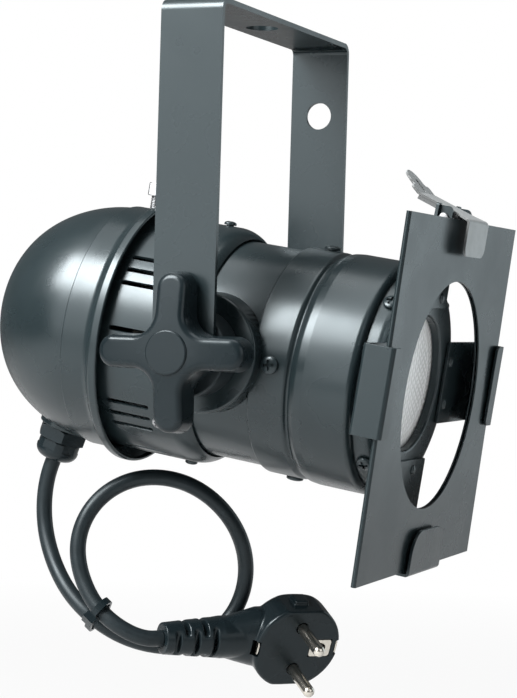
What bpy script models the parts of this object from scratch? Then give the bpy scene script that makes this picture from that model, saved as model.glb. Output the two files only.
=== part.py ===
"""Par can: a small spotlight with a U yoke, two cross knobs, a domed rear cover, a gel frame in
spring-clipped channels, a cable gland and a short mains lead with an angled plug.

Metres, +Z up. The origin is the centre of the hanging bolt hole, on top of the yoke's crossbar.
The beam points along -Y and, at rest, a little down. X is the tilt axis.
"""

import math

import bmesh
import bpy
import numpy as np
from mathutils import Matrix, Vector

# Fits shared by all the pieces
GAP = 0.0003
RUNNING_GAP = 0.0005

# Yoke
STRAP_WIDTH = 0.025
STRAP_THICKNESS = 0.002
YOKE_BEND = 0.0035
PIVOT_DROP = 0.131
HANG_HOLE = 0.013
SAFETY_HOLE = 0.0114
SAFETY_HOLE_HEIGHT = 0.1005
REST_TILT = math.radians(8.4)

# Tilt pivot, measured outwards from the can's axis
BOLT = 0.008
BOLT_HEAD_FLATS = 0.013
BOLT_HEAD_HEIGHT = 0.005
BOSS_RADIUS = 0.023
BOSS_RISE = 0.0077
SPACER_RADIUS = 0.0165
SPACER_ROOM = 0.0132
WASHER_RADIUS = 0.0078
WASHER_THICKNESS = 0.0012
KNOB_STANDOFF = 0.0007
KNOB_REACH = 0.0298
KNOB_LOBE_WIDTH = 0.0126
KNOB_FILLET = 0.0085
KNOB_DEPTH = 0.0120
KNOB_COLLAR_RADIUS = 0.0112
KNOB_COLLAR_HEIGHT = 0.0008
KNOB_PAD_RADIUS = 0.0083
KNOB_PAD_HEIGHT = 0.0007
KNOB_EDGE = 0.0030
BOLT_IN_KNOB = 0.0095

# Spun shells: places along the beam are measured from the tilt axis, forwards
SHEET = 0.001
REAR_BODY_RADIUS = 0.0478
REAR_BODY_BACK = -0.0588
SHOULDER_START = -0.014
SHOULDER_ROUND = 0.010
NECK_INSET = 0.0045
NECK_BACK = -0.011
NECK_FRONT = 0.031
BARREL_BACK = 0.0184
BARREL_CLEARANCE = 0.0018
GROOVE_PLACE = 0.0345
GROOVE_DEPTH = 0.0014
GROOVE_HALF_WIDTH = 0.0013
BARREL_SHOULDER = 0.0048
BARREL_RISE = 0.0007
BARREL_FRONT = 0.0608
BARREL_LIP_ROUND = 0.0029

# Front ring with the lamp opening
RING_FRONT = 0.0699
RING_LENGTH = 0.020
RING_ROUND = 0.005
LAMP_OPENING_RADIUS = 0.0263
OPENING_ROUND = 0.001
OPENING_LIP = 0.0034

# Rear cover
COVER_FRONT = -0.042
COVER_RIM_RISE = 0.0037
COVER_RIM_LENGTH = 0.0035
COVER_FLARE = 0.003
COVER_CREASE = -0.060
CREASE_STEP = 0.0008
DOME_DEPTH = 0.0466
DOME_ALONG_POWER = 1.8
DOME_ROUND_POWER = 2.6
LOCK_SCREW_PLACE = -0.053
LOCK_SCREW = 0.004
LOCK_HEAD_FLATS = 0.007
LOCK_HEAD_HEIGHT = 0.0052
LOCK_SEAT_RISE = 0.0016
LOCK_NUT_HEIGHT = 0.003

# Cooling slots of the rear body
VENT_GROUPS = 10
VENTS_IN_GROUP = 3
VENT_GROUP_START = math.radians(4)
VENT_PITCH = math.radians(7)
VENT_WIDTH = 0.0017
VENT_FRONT = -0.0225
VENT_BACK = -0.0405

# Small screws: place along the beam, head radius and height, shank radius
BARREL_SCREWS = 4
RING_SCREWS = 4
BARREL_SCREW_PLACE = 0.0268
BARREL_SCREW_HEAD = 0.0034
BARREL_SCREW_SHANK = 0.002
BODY_SCREW_PLACE = -0.0185
EARTH_SCREW_ANGLE = math.radians(220)
EARTH_NUT_FLATS = 0.0055
EARTH_NUT_HEIGHT = 0.0024
BODY_SCREW_HEAD = 0.0025
BODY_SCREW_SHANK = 0.0015
RING_SCREW_SETBACK = 0.0051
RING_SCREW_HEAD = 0.0031
RING_SCREW_SHANK = 0.0015
SCREW_HEAD_HEIGHT = 0.0016
SCREW_LENGTH = 0.0062
RING_SCREW_LENGTH = 0.0042

# Gel frame and the channels that hold it
FRAME_SIDE = 0.135
FRAME_THICKNESS = 0.002
FRAME_LEAF = 0.0007
FRAME_HOLE_RADIUS = 0.0441
FRAME_STANDOFF = 0.0107
FRAME_DROP = 0.0025
FRAME_LEAN = math.radians(1.2)
FRAME_PLAY = 0.0005
BRACKET_SHEET = 0.0012
BRACKET_BEND = 0.001
CHANNEL_HEIGHT = 0.033
CHANNEL_LIP = 0.009
CHANNEL_INNER_REACH = 0.030
TONGUE_WIDTH = 0.037
TONGUE_LENGTH = 0.0175
TONGUE_ROUND = 0.009
TONGUE_SHIFT = 0.004
CHANNEL_CORNER = 0.003
SLOT_DEPTH = 0.0112
BOTTOM_SLOT_DEPTH = 0.0129
RIVET_RADIUS = 0.0021
RIVET_HEIGHT = 0.0011
RIVET_SPACING = 0.017
RIVET_REACH = 0.034

# Top bracket and its spring clip
TOP_BRACKET_WIDTH = 0.031
TOP_BRACKET_RISE = 0.0027
TAPER_DROP = 0.0152
EAR_POST = 0.003
EAR_DROP = 0.0097
EAR_SPREAD = 0.0116
EAR_LENGTH = 0.0052
EAR_HEIGHT = 0.009
CLIP_NOTCH = 0.0087
CLIP_PIN = 0.0022
CLIP_PIN_FORWARD = 0.0029
CLIP_PIN_DROP = 0.0054
CLIP_SHEET = 0.0009
CLIP_WIDTH = 0.0195
CLIP_TAB_WIDTH = 0.025
CLIP_TAB_ROUND = 0.0042
CLIP_SHOULDER = 0.004
CLIP_WING = 0.0045
CLIP_FLANGE = 0.0016
CLIP_SLOPE = math.radians(18)
CLIP_LIFT = 0.0035
CLIP_REACH = 0.0094
CLIP_TAB = 0.0135
CLIP_REAR = 0.0145
CLIP_BEND = 0.0016
CLIP_FINGER_WIDTH = 0.0115
CLIP_FINGER_LENGTH = 0.0120
CLIP_FINGER_ANGLE = math.radians(24)
CLIP_FINGER_SLOT = (0.0022, 0.0065)
CLIP_LUG_RADIUS = 0.0027
SPRING_WIRE = 0.0008
SPRING_TURNS = 4
SPRING_PITCH = 0.0014
SPRING_LEG = 0.0075
SPRING_DROP = math.radians(118)

# Lamp and lampholder
LAMP_RADIUS = 0.0322
LAMP_RIM = 0.0052
LAMP_WALL = 0.0014
LENS_CROWN = 0.0022
LENS_EDGE = 0.0026
LAMP_NECK_RADIUS = 0.0145
LAMP_NECK_PLACE = 0.004
CAP_RADIUS = 0.0131
CAP_LENGTH = 0.0225
CAP_TIP_LENGTH = 0.004
CAP_TIP_RADIUS = 0.0048
HOLDER_FRONT = 0.0015
HOLDER_RADIUS = 0.0205
HOLDER_SKIRT = 0.026
HOLDER_BASE_RADIUS = 0.0165
HOLDER_LENGTH = 0.047
SLEEVE_WALL = 0.0006
STRAP_BRACKET_WIDTH = 0.026
STRAP_END = 0.006
HOLDER_SCREW_SPACING = 0.019
HOLDER_SCREW_HEAD = 0.003
HOLDER_SCREW_LENGTH = 0.008
TERMINAL_WIDTH = 0.026
TERMINAL_DEPTH = 0.011
TERMINAL_HEIGHT = 0.017
TERMINAL_DROP = 0.0215
TERMINAL_HOLE = 0.0016
TERMINAL_PITCH = 0.008

# Cable gland
GLAND_PLACE = -0.0773
GLAND_TILT = math.radians(12)
GLAND_HEX_FLATS = 0.0185
GLAND_HEX_HEIGHT = 0.0052
GLAND_THREAD_RADIUS = 0.0075
GLAND_BORE = 0.0054
GLAND_THREAD_RISE = 0.0062
GLAND_SEAT_RISE = 0.0006
GLAND_SEAT_DEPTH = 0.0050
SEAL_LENGTH = 0.006
GLAND_NUT_RADIUS = 0.0088
GLAND_NUT_HEIGHT = 0.0082
GLAND_DOME_ROUND = 0.0042
GLAND_SEAT_RADIUS = 0.0108
LOCKNUT_FLATS = 0.019
LOCKNUT_HEIGHT = 0.0035

# Mains lead
CORD_DIAMETER = 0.0065
CORD_SPACING = 0.0085
CORD_STRAIGHT = 0.005
PLUG_STRAIGHT = 0.0045
TIE_WALL = 0.0012
TIE_PLAY = 0.0009
TIE_WIDTH = 0.0028
TIE_HEAD = 0.0048

# Angled plug
PLUG_FACE_RADIUS = 0.0190
PLUG_BODY_DEPTH = 0.0155
PLUG_BACK_ROUND = 0.004
PLUG_FLAT = 0.0172
PLUG_GRIP_WIDTH = 0.0060
PLUG_GRIP_REACH = 0.0192
PLUG_NECK_START = 0.006
PLUG_NECK_RADIUS = 0.0086
PLUG_NECK_DEPTH = 0.0105
PLUG_NECK_FLARE = [(0.0305, 0.0084), (0.0235, 0.0106), (0.016, 0.0128), (0.011, 0.0128)]
PLUG_NECK_FLATNESS = 0.75
PLUG_NECK_REACH = 0.0325
RELIEF_LENGTH = 0.0235
RELIEF_RADIUS = 0.0084
RELIEF_END_RADIUS = 0.0064
RELIEF_SLOTS = 3
RELIEF_SLOT_WIDTH = 0.002
RELIEF_CORE = 0.0040
PIN_RADIUS = 0.0024
PIN_LENGTH = 0.019
PIN_SPACING = 0.019
EARTH_HOLE_RADIUS = 0.0024
EARTH_HOLE_OFFSET = 0.0102
EARTH_PLATE = (0.0092, 0.0076)
EARTH_PLATE_THICKNESS = 0.001
EARTH_TUBE_RADIUS = 0.0032
EARTH_TUBE_LENGTH = 0.010
EARTH_CLIP_WIDTH = 0.0062
EARTH_CLIP_DEPTH = 0.0070
EARTH_CLIP_THICKNESS = 0.0008
EARTH_CLIP_PLACE = 0.0180
PIN_ROOT = 0.005

# The lead's route, chosen by hand: from the gland down, round one loop and into the plug
ROUTE = [
    (0.0001, 0.0918, -0.1913),
    (-0.0003, 0.0919, -0.2002),
    (-0.0021, 0.0896, -0.2095),
    (-0.0055, 0.0845, -0.2188),
    (-0.0097, 0.0770, -0.2276),
    (-0.0132, 0.0677, -0.2354),
    (-0.0135, 0.0581, -0.2420),
    (-0.0083, 0.0484, -0.2481),
    (0.0001, 0.0390, -0.2517),
    (0.0101, 0.0299, -0.2521),
    (0.0186, 0.0219, -0.2479),
    (0.0237, 0.0154, -0.2394),
    (0.0248, 0.0113, -0.2280),
    (0.0224, 0.0104, -0.2154),
    (0.0180, 0.0132, -0.2036),
    (0.0127, 0.0196, -0.1936),
    (0.0072, 0.0286, -0.1867),
    (0.0015, 0.0393, -0.1837),
    (-0.0041, 0.0501, -0.1851),
    (-0.0095, 0.0593, -0.1910),
    (-0.0142, 0.0652, -0.2006),
    (-0.0172, 0.0667, -0.2121),
    (-0.0187, 0.0636, -0.2235),
    (-0.0206, 0.0552, -0.2349),
    (-0.0203, 0.0460, -0.2417),
]
TIED_POINTS = (6, 23)
PLUG_CENTRE = (0.0245, -0.0133, -0.2519)
PLUG_PINS = (-0.620, -0.680, -0.391)
PLUG_LEAD = (-0.745, 0.667, 0.020)

ROUND_STEPS = 40
PLAIN_STEPS = 28
SMALL_STEPS = 20
TINY_STEPS = 12
CUTTER_TURN = math.radians(4)

# Sizes that follow from the ones above
SIDES = ((-1, "left"), (1, "right"))
NECK_RADIUS = REAR_BODY_RADIUS - NECK_INSET
BOSS_FACE = NECK_RADIUS + BOSS_RISE
ARM_INSIDE = BOSS_FACE + SPACER_ROOM
ARM_OUTSIDE = ARM_INSIDE + STRAP_THICKNESS
KNOB_BACK = ARM_OUTSIDE + KNOB_STANDOFF
BARREL_REAR_RADIUS = NECK_RADIUS + BARREL_CLEARANCE
BARREL_RADIUS = BARREL_REAR_RADIUS + BARREL_RISE
RING_RADIUS = BARREL_RADIUS - BARREL_LIP_ROUND - GAP
COVER_BAND_RADIUS = REAR_BODY_RADIUS + RUNNING_GAP + SHEET
COVER_RIM_RADIUS = COVER_BAND_RADIUS + COVER_RIM_RISE
LOCK_HEAD_SEAT = COVER_RIM_RADIUS + LOCK_SEAT_RISE
DOME_RADIUS = COVER_BAND_RADIUS - CREASE_STEP
RING_SCREW_PLACE = RING_FRONT - RING_SCREW_SETBACK
FRAME_FRONT = RING_FRONT + FRAME_STANDOFF
BRACKET_FACE = RING_FRONT + GAP + BRACKET_SHEET / 2
TOP_BRACKET_HEIGHT = FRAME_SIDE / 2 + TOP_BRACKET_RISE
TOP_BRACKET_TAPER = TOP_BRACKET_HEIGHT - TAPER_DROP
CLIP_PIN_PLACE = BRACKET_FACE + CLIP_PIN_FORWARD
CLIP_PIN_HEIGHT = TOP_BRACKET_HEIGHT - CLIP_PIN_DROP
EAR_BOTTOM = TOP_BRACKET_HEIGHT - EAR_DROP
CLIP_NOTCH_FLOOR = TOP_BRACKET_HEIGHT - CLIP_NOTCH
LAMP_FRONT = RING_FRONT - OPENING_LIP - GAP - LENS_CROWN / 3


def clear_scene():
    for obj in list(bpy.data.objects):
        bpy.data.objects.remove(obj, do_unlink=True)
    for collection in list(bpy.data.collections):
        bpy.data.collections.remove(collection)


def new_collection(name):
    collection = bpy.data.collections.new(name)
    bpy.context.scene.collection.children.link(collection)
    return collection


def principled(name, colour, roughness, metallic):
    material = bpy.data.materials.new(name)
    material.use_nodes = True
    shader = material.node_tree.nodes["Principled BSDF"]
    shader.inputs["Base Color"].default_value = (*colour, 1.0)
    shader.inputs["Roughness"].default_value = roughness
    shader.inputs["Metallic"].default_value = metallic
    return material


def satin_black(name):
    return principled(f"{name}_satin_black", (0.030, 0.040, 0.043), 0.42, 0.0)


def black_plastic(name):
    return principled(f"{name}_black_plastic", (0.020, 0.022, 0.024), 0.30, 0.0)


def black_rubber(name):
    return principled(f"{name}_black_rubber", (0.022, 0.023, 0.025), 0.60, 0.0)


def zinc_steel(name):
    return principled(f"{name}_zinc_steel", (0.62, 0.62, 0.60), 0.32, 1.0)


def nickel_brass(name):
    return principled(f"{name}_nickel_brass", (0.70, 0.68, 0.62), 0.22, 1.0)


def white_ceramic(name):
    return principled(f"{name}_white_ceramic", (0.82, 0.81, 0.77), 0.25, 0.0)


def lamp_glass(name):
    return principled(f"{name}_lamp_glass", (0.80, 0.82, 0.83), 0.12, 0.0)


def zinc_black(name):
    return principled(f"{name}_black_zinc", (0.060, 0.068, 0.072), 0.38, 0.0)


def mirror_coat(name):
    return principled(f"{name}_mirror_coat", (0.85, 0.86, 0.86), 0.10, 1.0)


def add_object(name, data, finish, parent=None, location=(0, 0, 0), rotation=(0, 0, 0)):
    """One piece in the parts collection, placed by its own location and rotation."""
    obj = bpy.data.objects.new(name, data)
    PARTS.objects.link(obj)
    obj.parent = parent
    obj.location = location
    obj.rotation_euler = rotation
    data.materials.append(finish(name))
    return obj


def add_cutter(name, data, parent=None, location=(0, 0, 0), rotation=(0, 0, 0)):
    """A helper that only cuts or joins. It is never rendered."""
    obj = bpy.data.objects.new(name, data)
    CUTTERS.objects.link(obj)
    obj.parent = parent
    obj.location = location
    obj.rotation_euler = rotation
    obj.display_type = "WIRE"
    obj.hide_render = True
    return obj


def add_pivot(name, parent=None, location=(0, 0, 0), rotation=(0, 0, 0)):
    empty = bpy.data.objects.new(name, None)
    PARTS.objects.link(empty)
    empty.parent = parent
    empty.location = location
    empty.rotation_euler = rotation
    return empty


def on_can(across, forward, up):
    """A place on the can: across the beam, forward along it and up from the tilt axis."""
    return Vector((across, -forward, up))


def facing(angle):
    """Turns +Z to point away from the beam's axis, at this angle from +X towards up."""
    return (0, math.pi / 2 - angle, 0)


ALONG_BEAM = (math.pi / 2, 0, 0)


def rotation_to(across, along, out):
    """The rotation that takes X, Y and Z to these three directions."""
    return Matrix((across, along, out)).transposed().to_euler()


def boolean(obj, other, operation="DIFFERENCE"):
    modifier = obj.modifiers.new(other.name, "BOOLEAN")
    modifier.operation = operation
    modifier.object = other
    modifier.solver = "EXACT"
    modifier.use_hole_tolerant = True
    return modifier


def bevel(obj, width, segments=2, angle=40):
    modifier = obj.modifiers.new("Bevel", "BEVEL")
    modifier.width = width
    modifier.segments = segments
    modifier.limit_method = "ANGLE"
    modifier.angle_limit = math.radians(angle)
    return modifier


def signed_area(points):
    turned_points = points[1:] + points[:1]
    return sum(a[0] * b[1] - b[0] * a[1] for a, b in zip(points, turned_points)) / 2


def arc(centre, radius, start, end, steps):
    """Points on an arc between two angles in degrees, both ends included."""
    angles = np.radians(np.linspace(start, end, steps + 1))
    return [(centre[0] + radius * math.cos(a), centre[1] + radius * math.sin(a)) for a in angles]


def profile_mesh(name, points):
    """Edges in the XZ plane, running down the outer side, closed unless both ends are on the axis."""
    if signed_area(points) > 0:
        points = points[::-1]
    open_ends = max(points[0][0], points[-1][0]) < 1e-9
    bm = bmesh.new()
    verts = [bm.verts.new((radius, 0, height)) for radius, height in points]
    for a, b in zip(verts, verts[1:]):
        bm.edges.new((a, b))
    if not open_ends:
        bm.edges.new((verts[-1], verts[0]))
    mesh = bpy.data.meshes.new(name)
    bm.to_mesh(mesh)
    bm.free()
    return mesh


def spin(obj, steps):
    """Turns the object's profile about its own Z."""
    screw = obj.modifiers.new("Screw", "SCREW")
    screw.axis = "Z"
    screw.angle = math.tau
    screw.steps = steps
    screw.render_steps = steps
    screw.use_merge_vertices = True
    screw.merge_threshold = 0.00001
    screw.use_smooth_shade = True
    return obj


def turned(name, points, finish, steps=ROUND_STEPS, **place):
    return spin(add_object(name, profile_mesh(name, points), finish, **place), steps)


def turned_cutter(name, points, steps=ROUND_STEPS, **place):
    """Its seam is turned a little, so that its corners don't fall on edges of what it cuts."""
    mesh = profile_mesh(name, points)
    mesh.transform(Matrix.Rotation(CUTTER_TURN, 4, "Z"))
    return spin(add_cutter(name, mesh, **place), steps)


def rod(radius, low, high, chamfer=0.0):
    """The profile of a solid rod between two heights."""
    if not chamfer:
        return [(0, high), (radius, high), (radius, low), (0, low)]
    return [
        (0, high),
        (radius - chamfer, high),
        (radius, high - chamfer),
        (radius, low + chamfer),
        (radius - chamfer, low),
        (0, low),
    ]


def prism_mesh(name, flats, height, sides=6, bottom=0.0):
    """An upright prism of this width across flats, standing on the given height."""
    bm = bmesh.new()
    radius = flats / 2 / math.cos(math.pi / sides)
    bmesh.ops.create_cone(
        bm, cap_ends=True, segments=sides, radius1=radius, radius2=radius, depth=height,
        matrix=Matrix.Translation((0, 0, bottom + height / 2)),
    )
    mesh = bpy.data.meshes.new(name)
    bm.to_mesh(mesh)
    bm.free()
    return mesh


def box_mesh(name, low, high):
    bm = bmesh.new()
    size = Vector(high) - Vector(low)
    centre = (Vector(high) + Vector(low)) / 2
    bmesh.ops.create_cube(bm, size=1.0, matrix=Matrix.Translation(centre) @ Matrix.Diagonal((*size, 1)))
    mesh = bpy.data.meshes.new(name)
    bm.to_mesh(mesh)
    bm.free()
    return mesh


def as_mesh(obj, name):
    """The evaluated mesh of a curve object, welded, with the object removed."""
    graph = bpy.context.evaluated_depsgraph_get()
    mesh = bpy.data.meshes.new_from_object(obj.evaluated_get(graph))
    mesh.name = name
    bpy.data.objects.remove(obj, do_unlink=True)
    bm = bmesh.new()
    bm.from_mesh(mesh)
    bmesh.ops.remove_doubles(bm, verts=bm.verts, dist=0.000005)
    bmesh.ops.recalc_face_normals(bm, faces=bm.faces)
    bm.to_mesh(mesh)
    bm.free()
    return mesh


def flat_mesh(name, outline, holes, thickness):
    """A flat sheet in the XY plane, centred on it, with round or shaped holes."""
    curve = bpy.data.curves.new(name, "CURVE")
    curve.dimensions = "2D"
    curve.fill_mode = "BOTH"
    curve.extrude = thickness / 2
    for loop in [outline, *holes]:
        spline = curve.splines.new("POLY")
        spline.points.add(len(loop) - 1)
        spline.use_cyclic_u = True
        for point, (x, y) in zip(spline.points, loop):
            point.co = (x, y, 0, 1)
    obj = bpy.data.objects.new(name, curve)
    CUTTERS.objects.link(obj)
    mesh = as_mesh(obj, name)
    bm = bmesh.new()
    bm.from_mesh(mesh)
    bmesh.ops.dissolve_limit(bm, angle_limit=math.radians(1), verts=bm.verts, edges=bm.edges)
    bm.to_mesh(mesh)
    bm.free()
    return mesh


def circle(centre, radius, steps=SMALL_STEPS):
    return arc(centre, radius, 0, 360 - 360 / steps, steps - 1)


def rounded(corners, steps=3):
    """An outline from corners (x, y, radius), each rounded by an arc."""
    points = []
    count = len(corners)
    for i, (x, y, radius) in enumerate(corners):
        here = Vector((x, y))
        if radius <= 0:
            points.append((x, y))
            continue
        before = (Vector(corners[i - 1][:2]) - here).normalized()
        after = (Vector(corners[(i + 1) % count][:2]) - here).normalized()
        half = math.acos(max(-1, min(1, before.dot(after)))) / 2
        middle = here + (before + after).normalized() * (radius / math.sin(half))
        first = here + before * (radius / math.tan(half)) - middle
        last = here + after * (radius / math.tan(half)) - middle
        sweep = first.angle_signed(last)
        for step in range(steps + 1):
            turn = Matrix.Rotation(-sweep * step / steps, 2)
            points.append(tuple(middle + turn @ first))
    return points


def place_on_strip(distance, start, folds):
    """Where a folded strip is at this distance along it: (y, z, heading). Folds hold their radius."""
    y, z, heading = start
    reached = 0.0
    for begin, angle, radius in folds:
        if distance <= begin:
            break
        y += (begin - reached) * math.cos(heading)
        z += (begin - reached) * math.sin(heading)
        length = abs(angle) * radius
        side = math.copysign(radius, angle)
        turned_by = min((distance - begin) / length, 1.0) * angle
        y += side * (math.sin(heading + turned_by) - math.sin(heading))
        z -= side * (math.cos(heading + turned_by) - math.cos(heading))
        heading += turned_by
        reached = min(distance, begin + length)
    y += (distance - reached) * math.cos(heading)
    z += (distance - reached) * math.sin(heading)
    return y, z, heading


def fold(mesh, start, folds, steps=3):
    """Bends a flat sheet along its Y: each fold is (where it begins, angle, middle radius)."""
    bm = bmesh.new()
    bm.from_mesh(mesh)
    bmesh.ops.recalc_face_normals(bm, faces=bm.faces)
    for begin, angle, radius in folds:
        length = abs(angle) * radius
        for step in range(steps + 1):
            bmesh.ops.bisect_plane(
                bm, geom=bm.verts[:] + bm.edges[:] + bm.faces[:], dist=1e-7,
                plane_co=(0, begin + length * step / steps, 0), plane_no=(0, 1, 0),
            )
    for vert in bm.verts:
        y, z, heading = place_on_strip(vert.co.y, start, folds)
        level = vert.co.z
        vert.co.y = y - level * math.sin(heading)
        vert.co.z = z + level * math.cos(heading)
    bm.to_mesh(mesh)
    bm.free()
    return mesh


def tube(name, points, radius, finish, resolution=2, parent=None):
    """A round bar along the points, with flat ends."""
    curve = bpy.data.curves.new(name, "CURVE")
    curve.dimensions = "3D"
    curve.bevel_depth = radius
    curve.bevel_resolution = resolution
    curve.use_fill_caps = True
    spline = curve.splines.new("POLY")
    spline.points.add(len(points) - 1)
    for point, place in zip(spline.points, points):
        point.co = (*place, 1)
    return add_object(name, curve, finish, parent=parent)


def ring(outer, inner, low, high):
    """The profile of a ring between two heights."""
    return [(inner, high), (outer, high), (outer, low), (inner, low)]


def radial_place(angle, place, radius):
    return on_can(radius * math.cos(angle), place, radius * math.sin(angle))


def drill_radial(obj, name, angle, place, radius, low, high):
    """A round hole pointing at the beam's axis."""
    where = dict(parent=CAN, location=on_can(0, place, 0), rotation=facing(angle))
    boolean(obj, turned_cutter(name, rod(radius, low, high), TINY_STEPS, **where))


def merge_round(obj, name, points, steps=SMALL_STEPS, **place):
    """Joins a turned shape to the object."""
    boolean(obj, turned_cutter(name, points, steps, **place), "UNION")


def make_yoke():
    middle = ARM_INSIDE + STRAP_THICKNESS / 2
    end = STRAP_WIDTH / 2
    rise = PIVOT_DROP + end - STRAP_THICKNESS / 2 - YOKE_BEND
    bend = math.pi / 2 * YOKE_BEND
    crossbar = 2 * (middle - YOKE_BEND)
    total = 2 * rise + 2 * bend + crossbar
    outline = arc((0, end), end, 180, 360, TINY_STEPS) + arc((0, total - end), end, 0, 180, TINY_STEPS)
    holes = [
        circle((0, end), BOLT / 2 + RUNNING_GAP),
        circle((0, total - end), BOLT / 2 + RUNNING_GAP),
        circle((0, total / 2), HANG_HOLE / 2),
        circle((0, total - end - SAFETY_HOLE_HEIGHT), SAFETY_HOLE / 2),
    ]
    mesh = flat_mesh("yoke", outline, holes, STRAP_THICKNESS)
    folds = [(rise, -math.pi / 2, YOKE_BEND), (rise + bend + crossbar, -math.pi / 2, YOKE_BEND)]
    fold(mesh, (-middle, -PIVOT_DROP - end, math.pi / 2), folds)
    return add_object("yoke", mesh, satin_black, rotation=(0, 0, -math.pi / 2))


def shoulder_arc(extra, radius_at_end, steps=6):
    """The round that takes the rear body's wall in towards the neck, moved out by extra."""
    centre = (REAR_BODY_RADIUS - SHOULDER_ROUND, SHOULDER_START)
    reach = SHOULDER_ROUND + extra
    return arc(centre, reach, 0, shoulder_end(radius_at_end, reach), steps)


def shoulder_end(radius_at_end, reach):
    return math.degrees(math.acos((radius_at_end - REAR_BODY_RADIUS + SHOULDER_ROUND) / reach))


def make_rear_body():
    inner_edge = NECK_RADIUS + GAP
    end = shoulder_end(inner_edge, SHOULDER_ROUND - SHEET)
    centre = (REAR_BODY_RADIUS - SHOULDER_ROUND, SHOULDER_START)
    outer = [(REAR_BODY_RADIUS, REAR_BODY_BACK)] + arc(centre, SHOULDER_ROUND, 0, end, 5)
    inner = [(REAR_BODY_RADIUS - SHEET, REAR_BODY_BACK)] + arc(centre, SHOULDER_ROUND - SHEET, 0, end, 3)
    body = turned("rear_body", outer + inner[::-1], satin_black, parent=CAN, rotation=ALONG_BEAM)
    boolean(body, make_vent_cutter())
    through = (REAR_BODY_RADIUS - 2 * SHOULDER_ROUND, REAR_BODY_RADIUS + SHOULDER_ROUND)
    screw_hole = BODY_SCREW_SHANK + GAP
    drill_radial(body, "hole_body_top", math.pi / 2, BODY_SCREW_PLACE, screw_hole, *through)
    drill_radial(body, "hole_body_bottom", -math.pi / 2, BODY_SCREW_PLACE, screw_hole, *through)
    drill_radial(body, "hole_earth", EARTH_SCREW_ANGLE, BODY_SCREW_PLACE, screw_hole, *through)
    drill_radial(body, "hole_lock", math.pi / 2, LOCK_SCREW_PLACE, LOCK_SCREW / 2 + GAP, *through)
    return body


def make_vent_cutter():
    """Groups of narrow slots, all the way round."""
    bm = bmesh.new()
    depth = 2 * SHOULDER_ROUND
    size = (VENT_WIDTH, VENT_FRONT - VENT_BACK, depth)
    middle = Vector((0, -(VENT_FRONT + VENT_BACK) / 2, REAR_BODY_RADIUS))
    for group in range(VENT_GROUPS):
        for slot in range(VENTS_IN_GROUP):
            step = slot - (VENTS_IN_GROUP - 1) / 2
            angle = VENT_GROUP_START + math.tau * group / VENT_GROUPS + step * VENT_PITCH
            turn = Matrix.Rotation(facing(angle)[1], 4, "Y")
            matrix = turn @ Matrix.Translation(middle) @ Matrix.Diagonal((*size, 1))
            bmesh.ops.create_cube(bm, size=1.0, matrix=matrix)
    mesh = bpy.data.meshes.new("vent_slots")
    bm.to_mesh(mesh)
    bm.free()
    return add_cutter("vent_slots", mesh, parent=CAN)


def make_neck_tube():
    profile = ring(NECK_RADIUS, NECK_RADIUS - SHEET, NECK_BACK, NECK_FRONT)
    neck = turned("neck_tube", profile, satin_black, parent=CAN, rotation=ALONG_BEAM)
    through = (NECK_RADIUS - SHOULDER_ROUND, NECK_RADIUS + SHOULDER_ROUND)
    for side, label in SIDES:
        hole = BOLT / 2 + GAP
        drill_radial(neck, f"hole_neck_{label}", facing_side(side), 0, hole, *through)
    for index in range(BARREL_SCREWS):
        hole = BARREL_SCREW_SHANK + GAP
        drill_radial(neck, f"hole_neck_{index}", quarter(index), BARREL_SCREW_PLACE, hole, *through)
    return neck


def make_front_barrel():
    before = GROOVE_PLACE - GROOVE_HALF_WIDTH
    after = GROOVE_PLACE + GROOVE_HALF_WIDTH
    lip = (BARREL_RADIUS - BARREL_LIP_ROUND, BARREL_FRONT - BARREL_LIP_ROUND)
    rise = BARREL_RADIUS - BARREL_REAR_RADIUS
    outer = [
        (NECK_RADIUS + GAP, BARREL_BACK),
        (BARREL_REAR_RADIUS - SHEET / 2, BARREL_BACK),
        (BARREL_REAR_RADIUS, BARREL_BACK + SHEET / 2),
        (BARREL_REAR_RADIUS, before),
        (BARREL_REAR_RADIUS - GROOVE_DEPTH, GROOVE_PLACE),
        (BARREL_REAR_RADIUS - GROOVE_DEPTH / 3, after),
        (BARREL_REAR_RADIUS + rise / 2, after + BARREL_SHOULDER / 3),
        (BARREL_RADIUS, after + BARREL_SHOULDER),
    ] + arc(lip, BARREL_LIP_ROUND, 0, 90, 4)
    inner = [
        (NECK_RADIUS + GAP, BARREL_BACK + SHEET),
        (BARREL_REAR_RADIUS - SHEET, BARREL_BACK + SHEET),
        (BARREL_REAR_RADIUS - SHEET, before),
        (BARREL_REAR_RADIUS - GROOVE_DEPTH - SHEET, GROOVE_PLACE),
        (BARREL_REAR_RADIUS - GROOVE_DEPTH / 3 - SHEET, after),
        (BARREL_REAR_RADIUS + rise / 2 - SHEET, after + BARREL_SHOULDER / 3),
        (BARREL_RADIUS - SHEET, after + BARREL_SHOULDER),
    ] + arc(lip, BARREL_LIP_ROUND - SHEET, 0, 90, 2)
    barrel = turned("front_barrel", outer + inner[::-1], satin_black, parent=CAN, rotation=ALONG_BEAM)
    for index in range(BARREL_SCREWS):
        hole = BARREL_SCREW_SHANK + GAP
        low = BARREL_REAR_RADIUS - SHOULDER_ROUND
        high = BARREL_REAR_RADIUS + SHOULDER_ROUND
        drill_radial(barrel, f"hole_barrel_{index}", quarter(index), BARREL_SCREW_PLACE, hole, low, high)
    return barrel


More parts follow.
